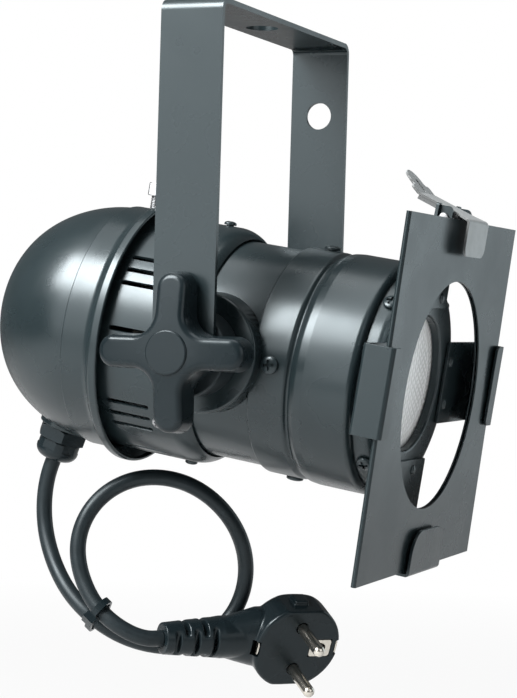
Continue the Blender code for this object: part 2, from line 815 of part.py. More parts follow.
def make_front_ring():
    edge = (RING_RADIUS - RING_ROUND, RING_FRONT - RING_ROUND)
    opening = (LAMP_OPENING_RADIUS + OPENING_ROUND, RING_FRONT - OPENING_ROUND)
    outer = [(RING_RADIUS, RING_FRONT - RING_LENGTH)] + arc(edge, RING_ROUND, 0, 90, 5)
    outer += arc(opening, OPENING_ROUND, 90, 180, 3) + [(LAMP_OPENING_RADIUS, RING_FRONT - OPENING_LIP)]
    inner = [(RING_RADIUS - SHEET, RING_FRONT - RING_LENGTH)] + arc(edge, RING_ROUND - SHEET, 0, 90, 3)
    inner += [
        (LAMP_OPENING_RADIUS + SHEET, RING_FRONT - SHEET),
        (LAMP_OPENING_RADIUS + SHEET, RING_FRONT - OPENING_LIP),
    ]
    front = turned("front_ring", outer + inner[::-1], satin_black, parent=CAN, rotation=ALONG_BEAM)
    for index in range(RING_SCREWS):
        low = RING_RADIUS - SHOULDER_ROUND
        high = RING_RADIUS + SHOULDER_ROUND
        angle = quarter(index + 0.5)
        drill_radial(front, f"hole_ring_{index}", angle, RING_SCREW_PLACE, RING_SCREW_SHANK + GAP, low, high)
    return front


def dome_radius(share, radius):
    return radius * (1 - share**DOME_ALONG_POWER) ** (1 / DOME_ROUND_POWER)


def dome(radius, depth, steps=8):
    """The rear cover's dome, from its crease to its tip."""
    shares = [math.sin(math.pi / 2 * step / steps) for step in range(steps + 1)]
    return [(dome_radius(min(share, 1.0), radius), COVER_CREASE - depth * share) for share in shares]


def make_rear_cover():
    rim_back = COVER_FRONT - COVER_RIM_LENGTH
    band_start = rim_back - COVER_FLARE
    outer = dome(DOME_RADIUS, DOME_DEPTH)[::-1] + [
        (COVER_BAND_RADIUS, COVER_CREASE + CREASE_STEP / 2),
        (COVER_BAND_RADIUS, band_start),
        (COVER_RIM_RADIUS - SHEET / 2, rim_back),
        (COVER_RIM_RADIUS, rim_back + SHEET / 2),
        (COVER_RIM_RADIUS, COVER_FRONT - SHEET / 2),
        (COVER_RIM_RADIUS - SHEET / 2, COVER_FRONT),
    ]
    inner = dome(DOME_RADIUS - SHEET, DOME_DEPTH - SHEET, 6)[::-1] + [
        (COVER_BAND_RADIUS - SHEET, COVER_CREASE + CREASE_STEP / 2),
        (COVER_BAND_RADIUS - SHEET, band_start + SHEET / 2),
        (COVER_RIM_RADIUS - SHEET, rim_back + SHEET),
        (COVER_RIM_RADIUS - SHEET, COVER_FRONT),
    ]
    cover = turned("rear_cover", outer + inner[::-1], satin_black, parent=CAN, rotation=ALONG_BEAM)
    pad = rod(GLAND_SEAT_RADIUS, -GLAND_SEAT_DEPTH, GLAND_SEAT_RISE)
    merge_round(cover, "gland_pad", pad, parent=GLAND)
    hole = rod(GLAND_THREAD_RADIUS + GAP, -2 * GLAND_SEAT_DEPTH, GLAND_SEAT_DEPTH)
    boolean(cover, turned_cutter("gland_hole", hole, SMALL_STEPS, parent=GLAND))
    low = COVER_BAND_RADIUS - SHOULDER_ROUND
    high = COVER_BAND_RADIUS + SHOULDER_ROUND
    drill_radial(cover, "hole_cover_lock", math.pi / 2, LOCK_SCREW_PLACE, LOCK_SCREW / 2 + GAP, low, high)
    return cover


def flat_inside(radius, half_width):
    """How far out a flat of this half width can sit inside a round wall."""
    return math.sqrt(radius**2 - half_width**2) - GAP


def corner_radius(flats):
    return flats / 2 / math.cos(math.pi / 6)


def make_cover_lock():
    place = dict(parent=CAN, location=on_can(0, LOCK_SCREW_PLACE, 0), rotation=facing(math.pi / 2))
    nut_face = flat_inside(REAR_BODY_RADIUS - SHEET, corner_radius(LOCK_HEAD_FLATS))
    head = prism_mesh("cover_lock_screw", LOCK_HEAD_FLATS, LOCK_HEAD_HEIGHT, bottom=LOCK_HEAD_SEAT)
    screw = add_object("cover_lock_screw", head, zinc_steel, **place)
    shank = rod(LOCK_SCREW / 2, nut_face - 2 * LOCK_NUT_HEIGHT, LOCK_HEAD_SEAT + LOCK_HEAD_HEIGHT / 2)
    merge_round(screw, "lock_shank", shank, TINY_STEPS, **place)
    nut = prism_mesh("cover_lock_nut", LOCK_HEAD_FLATS, LOCK_NUT_HEIGHT, bottom=nut_face - LOCK_NUT_HEIGHT)
    nut = add_object("cover_lock_nut", nut, zinc_steel, **place)
    bore = rod(LOCK_SCREW / 2 + GAP, 0, REAR_BODY_RADIUS)
    boolean(nut, turned_cutter("lock_nut_bore", bore, TINY_STEPS, **place))


def facing_side(side):
    """The angle from +X of the left or right side."""
    return 0 if side > 0 else math.pi


def quarter(index):
    return math.pi / 2 * index


def body_envelope():
    """The outside of the can's shells with a gap, as a solid that bosses are cut by."""
    far = 2 * REAR_BODY_RADIUS
    step = shoulder_arc(GAP, NECK_RADIUS + GAP)
    return [
        (0, far),
        (BARREL_REAR_RADIUS + GAP, far),
        (BARREL_REAR_RADIUS + GAP, BARREL_BACK - GAP),
        (NECK_RADIUS + GAP, BARREL_BACK - GAP),
        *step[::-1],
        (REAR_BODY_RADIUS + GAP, -far),
        (0, -far),
    ]


def make_pivots():
    envelope = turned_cutter("body_envelope", body_envelope(), parent=CAN, rotation=ALONG_BEAM)
    for side, label in SIDES:
        place = dict(parent=CAN, rotation=(0, side * math.pi / 2, 0))
        make_boss(label, envelope, place)
        spacer = ring(SPACER_RADIUS, BOLT / 2 + GAP, BOSS_FACE + GAP, ARM_INSIDE - GAP)
        turned(f"pivot_spacer_{label}", spacer, black_rubber, PLAIN_STEPS, **place)
        washer_back = ARM_OUTSIDE + GAP
        washer = ring(WASHER_RADIUS, BOLT / 2 + GAP, washer_back, washer_back + WASHER_THICKNESS)
        turned(f"arm_washer_{label}", washer, zinc_steel, SMALL_STEPS, **place)
        make_bolt(label, place)
        make_knob(side, label)


def make_boss(label, envelope, place):
    low = BOSS_RADIUS
    profile = [
        (BOLT / 2 + GAP, BOSS_FACE),
        (BOSS_RADIUS - SHEET, BOSS_FACE),
        (BOSS_RADIUS, BOSS_FACE - SHEET),
        (BOSS_RADIUS, low),
        (BOLT / 2 + GAP, low),
    ]
    boss = turned(f"pivot_boss_{label}", profile, satin_black, **place)
    boolean(boss, envelope)


def make_bolt(label, place):
    seat = flat_inside(NECK_RADIUS - SHEET, corner_radius(BOLT_HEAD_FLATS))
    head = prism_mesh(f"pivot_bolt_{label}", BOLT_HEAD_FLATS, BOLT_HEAD_HEIGHT, bottom=seat - BOLT_HEAD_HEIGHT)
    bolt = add_object(f"pivot_bolt_{label}", head, zinc_steel, **place)
    shank = rod(BOLT / 2, seat - BOLT_HEAD_HEIGHT / 2, KNOB_BACK + BOLT_IN_KNOB, GAP)
    merge_round(bolt, f"bolt_shank_{label}", shank, **place)


def knob_outline():
    """A cross with four round-ended lobes and filleted corners between them."""
    half = KNOB_LOBE_WIDTH / 2
    end = half - GAP
    lobe = [(half, half, KNOB_FILLET), (half, KNOB_REACH, end), (-half, KNOB_REACH, end)]
    corners = []
    for turn in range(4):
        spin_by = Matrix.Rotation(quarter(turn), 2)
        corners += [(*(spin_by @ Vector(corner[:2])), corner[2]) for corner in lobe]
    return rounded(corners, 4)


def make_knob(side, label):
    pivot = add_pivot(f"knob_{label}_pivot", CAN, (side * KNOB_BACK, 0, 0), (0, side * math.pi / 2, 0))
    upright = (0, 0, -side * REST_TILT)
    name = f"tilt_knob_{label}"
    mesh = flat_mesh(name, knob_outline(), [], KNOB_DEPTH)
    mesh.transform(Matrix.Translation((0, 0, KNOB_COLLAR_HEIGHT + KNOB_DEPTH / 2)))
    knob = add_object(name, mesh, black_plastic, parent=pivot, rotation=upright)
    bevel(knob, KNOB_EDGE, 3, 60)
    top = KNOB_COLLAR_HEIGHT + KNOB_DEPTH
    collar = rod(KNOB_COLLAR_RADIUS, 0, KNOB_COLLAR_HEIGHT + KNOB_DEPTH / 2)
    merge_round(knob, f"knob_collar_{label}", collar, parent=pivot)
    pad = [(0, top + KNOB_PAD_HEIGHT), *arc((KNOB_PAD_RADIUS - KNOB_PAD_HEIGHT, top), KNOB_PAD_HEIGHT, 90, 0, 2)]
    pad += [(KNOB_PAD_RADIUS, top - KNOB_DEPTH / 4), (0, top - KNOB_DEPTH / 4)]
    merge_round(knob, f"knob_pad_{label}", pad, parent=pivot)
    recess_floor = WASHER_THICKNESS + 2 * GAP - KNOB_STANDOFF
    recess = rod(WASHER_RADIUS + RUNNING_GAP, -KNOB_DEPTH, recess_floor)
    boolean(knob, turned_cutter(f"knob_recess_{label}", recess, SMALL_STEPS, parent=pivot))
    bore = rod(BOLT / 2 + RUNNING_GAP, -KNOB_DEPTH, BOLT_IN_KNOB + RUNNING_GAP)
    boolean(knob, turned_cutter(f"knob_bore_{label}", bore, SMALL_STEPS, parent=pivot))


def round_head(head, height, shank, length):
    """The profile of a pan-head screw that seats at zero with a gap."""
    return [
        (0, GAP + height),
        (head * 0.55, GAP + height),
        (head * 0.9, GAP + height * 0.7),
        (head, GAP + height * 0.3),
        (head, GAP),
        (shank, GAP),
        (shank, -length),
        (0, -length),
    ]


def radial_screw(name, angle, place, seat, head, shank, length=SCREW_LENGTH, finish=satin_black):
    profile = round_head(head, SCREW_HEAD_HEIGHT, shank, length)
    where = dict(parent=CAN, location=radial_place(angle, place, seat), rotation=facing(angle))
    return turned(name, profile, finish, TINY_STEPS, **where)


def make_screws():
    for index in range(BARREL_SCREWS):
        name = f"barrel_screw_{index + 1}"
        angle = quarter(index)
        radial_screw(name, angle, BARREL_SCREW_PLACE, BARREL_REAR_RADIUS, BARREL_SCREW_HEAD, BARREL_SCREW_SHANK)
    for index in range(RING_SCREWS):
        name = f"ring_screw_{index + 1}"
        angle = quarter(index + 0.5)
        sizes = (RING_SCREW_HEAD, RING_SCREW_SHANK, RING_SCREW_LENGTH)
        radial_screw(name, angle, RING_SCREW_PLACE, RING_RADIUS, *sizes)
    for name, angle in (("body_screw_top", math.pi / 2), ("body_screw_bottom", -math.pi / 2)):
        radial_screw(name, angle, BODY_SCREW_PLACE, REAR_BODY_RADIUS, BODY_SCREW_HEAD, BODY_SCREW_SHANK)
    place = dict(parent=CAN, location=on_can(0, BODY_SCREW_PLACE, 0), rotation=facing(EARTH_SCREW_ANGLE))
    seat = (BODY_SCREW_PLACE, REAR_BODY_RADIUS, BODY_SCREW_HEAD, BODY_SCREW_SHANK, SCREW_LENGTH, zinc_steel)
    radial_screw("earth_screw", EARTH_SCREW_ANGLE, *seat)
    face = flat_inside(REAR_BODY_RADIUS - SHEET, corner_radius(EARTH_NUT_FLATS))
    nut = prism_mesh("earth_nut", EARTH_NUT_FLATS, EARTH_NUT_HEIGHT, bottom=face - EARTH_NUT_HEIGHT)
    nut = add_object("earth_nut", nut, zinc_steel, **place)
    bore = rod(BODY_SCREW_SHANK + GAP, 0, REAR_BODY_RADIUS)
    boolean(nut, turned_cutter("earth_nut_bore", bore, TINY_STEPS, **place))


def make_gel_frame():
    """Two leaves folded from one sheet, with the colour gel's slot between them."""
    bend = (FRAME_THICKNESS - FRAME_LEAF) / 2
    leaf = FRAME_SIDE - bend - FRAME_LEAF / 2
    total = 2 * leaf + math.pi * bend
    half = FRAME_SIDE / 2
    outline = [(-half, 0), (half, 0), (half, total), (-half, total)]
    holes = [circle((0, half), FRAME_HOLE_RADIUS, ROUND_STEPS), circle((0, total - half), FRAME_HOLE_RADIUS, ROUND_STEPS)]
    mesh = flat_mesh("gel_frame", outline, holes, FRAME_LEAF)
    fold(mesh, (half, -bend, math.pi), [(leaf, -math.pi, bend)], 4)
    up = Vector((0, math.sin(FRAME_LEAN), math.cos(FRAME_LEAN)))
    across = Vector((1, 0, 0))
    rotation = rotation_to(up, across, up.cross(across))
    middle = on_can(0, FRAME_FRONT - FRAME_THICKNESS / 2, -FRAME_DROP)
    add_object("gel_frame", mesh, satin_black, parent=CAN, location=middle, rotation=rotation)


def make_channel(name, across, outward, width, wall, depth, lip, corner, shift=0.0):
    """A folded channel: a foot on the ring, a wall beside the gel frame and a lip in front of it."""
    half = BRACKET_SHEET / 2
    foot = wall + half - CHANNEL_INNER_REACH - BRACKET_BEND
    bend = math.pi / 2 * BRACKET_BEND
    rise = depth - 2 * BRACKET_BEND
    total = foot + 2 * bend + rise + lip - half - BRACKET_BEND
    edge = width / 2
    corners = [(-edge, 0, BRACKET_BEND), (edge, 0, BRACKET_BEND), (edge, total, corner), (-edge, total, corner)]
    mesh = flat_mesh(name, rounded(corners, 5), [], BRACKET_SHEET)
    folds = [(foot, math.pi / 2, BRACKET_BEND), (foot + bend + rise, math.pi / 2, BRACKET_BEND)]
    fold(mesh, (CHANNEL_INNER_REACH, 0, 0), folds, 2)
    forward = Vector((0, -1, 0))
    location = on_can(shift, BRACKET_FACE, 0)
    place = dict(parent=CAN, location=location, rotation=rotation_to(across, outward, forward))
    channel = add_object(name, mesh, satin_black, **place)
    for side in (-1, 1):
        where = location + across * (side * RIVET_SPACING / 2) + outward * RIVET_REACH
        head = [(0, half + RIVET_HEIGHT)] + arc((RIVET_RADIUS - RIVET_HEIGHT, half), RIVET_HEIGHT, 90, 0, 3)
        head += [(RIVET_RADIUS, 0), (0, 0)]
        merge_round(channel, f"{name}_rivet_{side}", head, TINY_STEPS, parent=CAN, location=where, rotation=ALONG_BEAM)


def make_channels():
    side_wall = FRAME_SIDE / 2 + FRAME_PLAY
    up = Vector((0, 0, 1))
    right = Vector((1, 0, 0))
    sides = (CHANNEL_HEIGHT, side_wall, SLOT_DEPTH, CHANNEL_LIP, CHANNEL_CORNER)
    make_channel("left_channel", up, -right, *sides)
    make_channel("right_channel", -up, right, *sides)
    tongue = (BOTTOM_SLOT_DEPTH, TONGUE_LENGTH, TONGUE_ROUND, TONGUE_SHIFT)
    make_channel("bottom_channel", -right, -up, TONGUE_WIDTH, side_wall + FRAME_DROP, *tongue)


UPRIGHT_PLATE = rotation_to(Vector((1, 0, 0)), Vector((0, 0, 1)), Vector((0, -1, 0)))
SIDE_PLATE = rotation_to(Vector((0, -1, 0)), Vector((0, 0, 1)), Vector((-1, 0, 0)))


def make_top_bracket():
    half = TOP_BRACKET_WIDTH / 2
    notch = EAR_SPREAD - BRACKET_SHEET / 2
    corners = [
        (-half, CHANNEL_INNER_REACH, BRACKET_BEND),
        (half, CHANNEL_INNER_REACH, BRACKET_BEND),
        (half, TOP_BRACKET_TAPER, 0),
        (notch + EAR_POST, TOP_BRACKET_HEIGHT, BRACKET_BEND),
        (notch, TOP_BRACKET_HEIGHT, 0),
        (notch, CLIP_NOTCH_FLOOR, BRACKET_BEND),
        (-notch, CLIP_NOTCH_FLOOR, BRACKET_BEND),
        (-notch, TOP_BRACKET_HEIGHT, 0),
        (-notch - EAR_POST, TOP_BRACKET_HEIGHT, BRACKET_BEND),
        (-half, TOP_BRACKET_TAPER, 0),
    ]
    mesh = flat_mesh("top_bracket", rounded(corners), [], BRACKET_SHEET)
    place = dict(parent=CAN, location=on_can(0, BRACKET_FACE, 0), rotation=UPRIGHT_PLATE)
    bracket = add_object("top_bracket", mesh, satin_black, **place)
    front = BRACKET_FACE + BRACKET_SHEET / 2 + EAR_LENGTH
    for side, label in SIDES:
        ear = rounded([
            (BRACKET_FACE, EAR_BOTTOM, 0),
            (front, EAR_BOTTOM, CLIP_PIN),
            (front, EAR_BOTTOM + EAR_HEIGHT, CLIP_PIN),
            (BRACKET_FACE, EAR_BOTTOM + EAR_HEIGHT, 0),
        ])
        hole = circle((CLIP_PIN_PLACE, CLIP_PIN_HEIGHT), CLIP_PIN / 2 + GAP, TINY_STEPS)
        where = dict(parent=CAN, location=on_can(side * EAR_SPREAD, 0, 0), rotation=SIDE_PLATE)
        boolean(bracket, add_cutter(f"ear_{label}", flat_mesh("ear", ear, [hole], BRACKET_SHEET), **where), "UNION")
    for side in (-1, 1):
        where = on_can(side * RIVET_SPACING / 2, BRACKET_FACE, RIVET_REACH)
        base = BRACKET_SHEET / 2
        head = [(0, base + RIVET_HEIGHT)] + arc((RIVET_RADIUS - RIVET_HEIGHT, base), RIVET_HEIGHT, 90, 0, 3)
        head += [(RIVET_RADIUS, 0), (0, 0)]
        merge_round(bracket, f"top_rivet_{side}", head, TINY_STEPS, parent=CAN, location=where, rotation=ALONG_BEAM)


def make_top_clip():
    """A folded strip: a tab in front of the gel frame, a sloping top and a raised finger."""
    pivot = add_pivot("top_clip_pivot", CAN, on_can(0, CLIP_PIN_PLACE, CLIP_PIN_HEIGHT))
    front_turn = math.pi / 2 - CLIP_SLOPE
    setback = CLIP_BEND * math.tan(front_turn / 2)
    finger_setback = CLIP_BEND * math.tan(CLIP_FINGER_ANGLE / 2)
    heading = Vector((math.cos(CLIP_SLOPE), math.sin(CLIP_SLOPE)))
    above_pin = Vector((-heading.y, heading.x)) * CLIP_LIFT
    corner = above_pin - heading * CLIP_REACH
    first = CLIP_TAB - setback
    second = first + front_turn * CLIP_BEND + CLIP_REACH + CLIP_REAR - setback - finger_setback
    end = second + CLIP_FINGER_ANGLE * CLIP_BEND + CLIP_FINGER_LENGTH - finger_setback
    shoulder = first + front_turn * CLIP_BEND
    wing = second + CLIP_WING
    half = CLIP_WIDTH / 2
    tab = CLIP_TAB_WIDTH / 2
    finger = CLIP_FINGER_WIDTH / 2
    right = [
        (tab, 0, CLIP_TAB_ROUND),
        (tab, shoulder, CLIP_BEND),
        (half, shoulder + CLIP_SHOULDER, CLIP_BEND),
        (half, wing, CLIP_BEND),
        (finger, wing, CLIP_BEND),
        (finger, end, finger - GAP),
    ]
    outline = rounded(right + [(-across, along, bend) for across, along, bend in reversed(right)], 4)
    wide, long = CLIP_FINGER_SLOT
    slot_end = end - finger
    slot = arc((0, slot_end), wide / 2, 0, 180, 4) + arc((0, slot_end - long + wide), wide / 2, 180, 360, 4)
    mesh = flat_mesh("top_clip", outline, [slot], CLIP_SHEET)
    folds = [(first, -front_turn, CLIP_BEND), (second, CLIP_FINGER_ANGLE, CLIP_BEND)]
    fold(mesh, (corner.x, corner.y - CLIP_TAB, math.pi / 2), folds)
    clip = add_object("top_clip", mesh, zinc_black, parent=pivot)
    for side, label in SIDES:
        lug = clip_lug(-above_pin.x, above_pin.y, CLIP_REAR - finger_setback - GAP)
        hole = circle((0, 0), CLIP_PIN / 2 + RUNNING_GAP, TINY_STEPS)
        where = dict(parent=pivot, rotation=SIDE_PLATE, location=(side * (half - CLIP_SHEET / 2 - GAP), 0, 0))
        boolean(clip, add_cutter(f"lug_{label}", flat_mesh("lug", lug, [hole], CLIP_SHEET), **where), "UNION")


def clip_lug(forward, up, reach):
    """A lug round the pin, running up into the strip and back along it as a low flange."""
    slope = math.degrees(CLIP_SLOPE)
    top = Vector((forward, up))
    along = Vector((math.cos(CLIP_SLOPE), -math.sin(CLIP_SLOPE)))
    front = top + along * CLIP_LUG_RADIUS
    back = top - along * reach
    edge = top.normalized() * (CLIP_SHEET / 2 + CLIP_FLANGE)
    flange = [tuple(front), tuple(back), tuple(back - edge), tuple(top - edge - along * CLIP_LUG_RADIUS)]
    return arc((0, 0), CLIP_LUG_RADIUS, 180 - slope, 360 - slope, 8) + flange


def make_clip_pin():
    reach = EAR_SPREAD + BRACKET_SHEET / 2 + GAP
    head = CLIP_PIN / 2 + GAP + SHEET / 2
    profile = [
        (0, reach + SHEET),
        (head, reach + SHEET),
        (head, reach),
        (CLIP_PIN / 2, reach),
        (CLIP_PIN / 2, -reach),
        (head, -reach),
        (head, -reach - SHEET),
        (0, -reach - SHEET),
    ]
    place = dict(parent=CAN, location=on_can(0, CLIP_PIN_PLACE, CLIP_PIN_HEIGHT), rotation=(0, math.pi / 2, 0))
    turned("clip_pin", profile, zinc_steel, TINY_STEPS, **place)


def make_clip_spring():
    """A torsion spring round the pin: one leg under the clip's rear, the other against the bracket."""
    radius = CLIP_PIN / 2 + GAP + RUNNING_GAP + SPRING_WIRE / 2
    pin = on_can(0, CLIP_PIN_PLACE, CLIP_PIN_HEIGHT)
    half = SPRING_TURNS * SPRING_PITCH / 2
    start = CLIP_SLOPE + math.pi / 2
    per_turn = 8
    sweep = math.tau * SPRING_TURNS + SPRING_DROP
    steps = round(sweep / math.tau * per_turn)
    points = []
    for step in range(steps + 1):
        angle = start - sweep * step / steps
        across = -half + 2 * half * step / steps
        points.append(pin + Vector((across, radius * math.cos(angle), radius * math.sin(angle))))
    rise = Vector((0, math.cos(CLIP_SLOPE), math.sin(CLIP_SLOPE)))
    leave = start - sweep
    fall = Vector((0, math.sin(leave), -math.cos(leave)))
    points = [points[0] + rise * SPRING_LEG] + points + [points[-1] + fall * SPRING_LEG]
    spring = tube("clip_spring", points, SPRING_WIRE / 2, zinc_steel, 1, parent=CAN)
    print("least gap in the clip spring: %.2f mm" % (1000 * (SPRING_PITCH - SPRING_WIRE)))
    return spring


def make_lamp():
    place = dict(parent=CAN, rotation=ALONG_BEAM)
    front = LAMP_FRONT - LENS_EDGE - GAP
    rim = front - LAMP_RIM
    neck = (LAMP_NECK_RADIUS, LAMP_NECK_PLACE)
    wall = LAMP_WALL
    outer = [neck, (LAMP_NECK_RADIUS, neck[1] + CAP_TIP_LENGTH)]
    outer += bowl(LAMP_NECK_RADIUS, LAMP_RADIUS - wall, neck[1] + CAP_TIP_LENGTH, rim)
    outer += [(LAMP_RADIUS, rim + wall), (LAMP_RADIUS, front)]
    inner = [(0, neck[1] + CAP_TIP_LENGTH + wall)]
    inner += bowl(LAMP_NECK_RADIUS - wall, LAMP_RADIUS - 2 * wall, neck[1] + CAP_TIP_LENGTH + wall, rim)
    inner += [(LAMP_RADIUS - 2 * wall, front)]
    turned("lamp_envelope", [(0, neck[1])] + outer + inner[::-1], mirror_coat, PLAIN_STEPS, **place)
    lens_edge = LAMP_FRONT - LENS_EDGE
    lens = [(0, lens_edge + LENS_CROWN)] + lens_curve(lens_edge)[::-1][1:] + lens_curve(LAMP_FRONT)
    turned("lamp_lens", lens + [(0, LAMP_FRONT + LENS_CROWN)], lamp_glass, PLAIN_STEPS, **place)
    cap_front = LAMP_NECK_PLACE - GAP
    cap_back = cap_front - CAP_LENGTH
    cap = [
        (0, cap_front),
        (CAP_RADIUS, cap_front),
        (CAP_RADIUS, cap_back + CAP_TIP_LENGTH),
        (CAP_TIP_RADIUS, cap_back),
        (CAP_TIP_RADIUS, cap_back - CAP_TIP_LENGTH),
        (0, cap_back - CAP_TIP_LENGTH),
    ]
    turned("lamp_cap", cap, nickel_brass, SMALL_STEPS, **place)


def bowl(start_radius, end_radius, start, end, steps=5):
    """A reflector's curve: the radius grows as the square root of the depth."""
    points = []
    for step in range(1, steps + 1):
        share = step / steps
        points.append((start_radius + (end_radius - start_radius) * math.sqrt(share), start + (end - start) * share))
    return points


def lens_curve(edge, steps=4):
    radii = [LAMP_RADIUS * (1 - step / steps) for step in range(steps)]
    return [(radius, edge + LENS_CROWN * (1 - (radius / LAMP_RADIUS) ** 2)) for radius in radii]


def make_lampholder():
    place = dict(parent=CAN, rotation=ALONG_BEAM)
    back = HOLDER_FRONT - HOLDER_LENGTH
    skirt = HOLDER_FRONT - HOLDER_SKIRT
    sleeve_in = CAP_RADIUS + GAP
    bore = sleeve_in + SLEEVE_WALL + GAP
    floor = LAMP_NECK_PLACE - CAP_LENGTH - CAP_TIP_LENGTH - 2 * GAP
    body = [
        (bore, HOLDER_FRONT),
        (HOLDER_RADIUS - SHEET, HOLDER_FRONT),
        (HOLDER_RADIUS, HOLDER_FRONT - SHEET),
        (HOLDER_RADIUS, skirt),
        (HOLDER_BASE_RADIUS, skirt - SHEET),
        (HOLDER_BASE_RADIUS, back),
        (0, back),
        (0, floor),
        (bore, floor),
    ]
    holder = turned("lampholder", body[7:] + body[:7], white_ceramic, PLAIN_STEPS, **place)
    sleeve = ring(sleeve_in + SLEEVE_WALL, sleeve_in, floor + GAP, HOLDER_FRONT - GAP)
    turned("lampholder_sleeve", sleeve, nickel_brass, SMALL_STEPS, **place)
    make_holder_strap(holder, back - GAP)


def make_holder_strap(holder, front):
    """A U strap behind the lampholder, with its arms along the rear body's wall."""
    arm = flat_inside(REAR_BODY_RADIUS - SHEET, STRAP_BRACKET_WIDTH / 2) - BRACKET_SHEET / 2
    middle = front - BRACKET_SHEET / 2
    start = BODY_SCREW_PLACE + STRAP_END
    reach = start - middle - BRACKET_BEND
    bend = math.pi / 2 * BRACKET_BEND
    across = 2 * (arm - BRACKET_BEND)
    total = 2 * reach + 2 * bend + across
    half = STRAP_BRACKET_WIDTH / 2
    corners = [(-half, 0, STRAP_END / 2), (half, 0, STRAP_END / 2), (half, total, STRAP_END / 2), (-half, total, STRAP_END / 2)]
    screw = BODY_SCREW_SHANK + GAP
    spread = HOLDER_SCREW_SPACING / 2
    holes = [circle((0, STRAP_END), screw, TINY_STEPS), circle((0, total - STRAP_END), screw, TINY_STEPS)]
    holes += [circle((side * spread, total / 2), screw, TINY_STEPS) for side in (-1, 1)]
    holes += [circle((0, total / 2), HOLDER_SCREW_HEAD, SMALL_STEPS)]
    mesh = flat_mesh("lampholder_bracket", rounded(corners), holes, BRACKET_SHEET)
    folds = [(reach, -math.pi / 2, BRACKET_BEND), (reach + bend + across, -math.pi / 2, BRACKET_BEND)]
    fold(mesh, (-start, arm, 0), folds, 2)
    add_object("lampholder_bracket", mesh, zinc_steel, parent=CAN)
    rear = middle - BRACKET_SHEET / 2
    for side, label in SIDES:
        place = dict(parent=CAN, location=on_can(side * spread, rear, 0), rotation=(-math.pi / 2, 0, 0))
        profile = round_head(HOLDER_SCREW_HEAD, SCREW_HEAD_HEIGHT, BODY_SCREW_SHANK, HOLDER_SCREW_LENGTH)
        turned(f"holder_screw_{label}", profile, zinc_steel, TINY_STEPS, **place)
        hole = rod(BODY_SCREW_SHANK + GAP, -HOLDER_SCREW_LENGTH - GAP, SHEET)
        boolean(holder, turned_cutter(f"holder_hole_{label}", hole, TINY_STEPS, **place))
    make_terminal_block(rear - GAP)


def make_terminal_block(front):
    half = TERMINAL_WIDTH / 2
    low = on_can(-half, front, -TERMINAL_DROP - TERMINAL_HEIGHT / 2)
    high = on_can(half, front - TERMINAL_DEPTH, -TERMINAL_DROP + TERMINAL_HEIGHT / 2)
    block = add_object("terminal_block", box_mesh("terminal_block", low, high), white_ceramic, parent=CAN)
    bm = bmesh.new()
    for column in (-1, 0, 1):
        for row in (-1, 1):
            hole = on_can(column * TERMINAL_PITCH, front - TERMINAL_DEPTH, row * TERMINAL_HEIGHT / 4 - TERMINAL_DROP)
            matrix = Matrix.Translation(hole) @ Matrix.Rotation(math.pi / 2, 4, "X")
            size = dict(radius1=TERMINAL_HOLE, radius2=TERMINAL_HOLE, depth=TERMINAL_DEPTH)
            bmesh.ops.create_cone(bm, cap_ends=True, segments=TINY_STEPS, matrix=matrix, **size)
    mesh = bpy.data.meshes.new("terminal_holes")
    bm.to_mesh(mesh)
    bm.free()
    boolean(block, add_cutter("terminal_holes", mesh, parent=CAN))


def make_gland():
    hex_low = GLAND_SEAT_RISE + GAP
    hex_high = hex_low + GLAND_HEX_HEIGHT
    nut_low = hex_high + GAP
    nut_high = nut_low + GLAND_NUT_HEIGHT
    thread_high = hex_high + GLAND_THREAD_RISE
    inside = -GLAND_SEAT_DEPTH - GAP - LOCKNUT_HEIGHT
    body = add_object("gland_body", prism_mesh("gland_body", GLAND_HEX_FLATS, GLAND_HEX_HEIGHT, bottom=hex_low), black_plastic, parent=GLAND)
    bevel(body, SHEET / 2, 1)
    merge_round(body, "gland_thread", rod(GLAND_THREAD_RADIUS, inside - SHEET, thread_high), parent=GLAND)
    bore = rod(GLAND_BORE, inside - 2 * SHEET, thread_high + SHEET)
    boolean(body, turned_cutter("gland_bore", bore, SMALL_STEPS, parent=GLAND))
    nut = prism_mesh("gland_locknut", LOCKNUT_FLATS, LOCKNUT_HEIGHT, bottom=inside)
    nut = add_object("gland_locknut", nut, black_plastic, parent=GLAND)
    boolean(nut, turned_cutter("locknut_bore", rod(GLAND_THREAD_RADIUS + GAP, 2 * inside, 0), SMALL_STEPS, parent=GLAND))
    cord_hole = CORD_DIAMETER / 2 + GAP
    inner = GLAND_THREAD_RADIUS + GAP
    dome_top = (GLAND_NUT_RADIUS - GLAND_DOME_ROUND, nut_high - GLAND_DOME_ROUND)
    profile = [(cord_hole, nut_high)] + arc(dome_top, GLAND_DOME_ROUND, 90, 0, 4) + [
        (GLAND_NUT_RADIUS, nut_low),
        (inner, nut_low),
        (inner, thread_high + GAP),
        (cord_hole, thread_high + GAP),
    ]
    turned("gland_dome_nut", profile, black_plastic, SMALL_STEPS + 4, parent=GLAND)
    seal_top = nut_high - 2 * GAP
    seal = [
        (0, seal_top),
        (cord_hole - GAP, seal_top),
        (cord_hole - GAP, thread_high - GAP),
        (GLAND_BORE - GAP, thread_high - GAP),
        (GLAND_BORE - GAP, thread_high - SEAL_LENGTH),
        (0, thread_high - SEAL_LENGTH),
    ]
    turned("gland_seal", seal, black_rubber, SMALL_STEPS, parent=GLAND)
    return nut_high - GAP


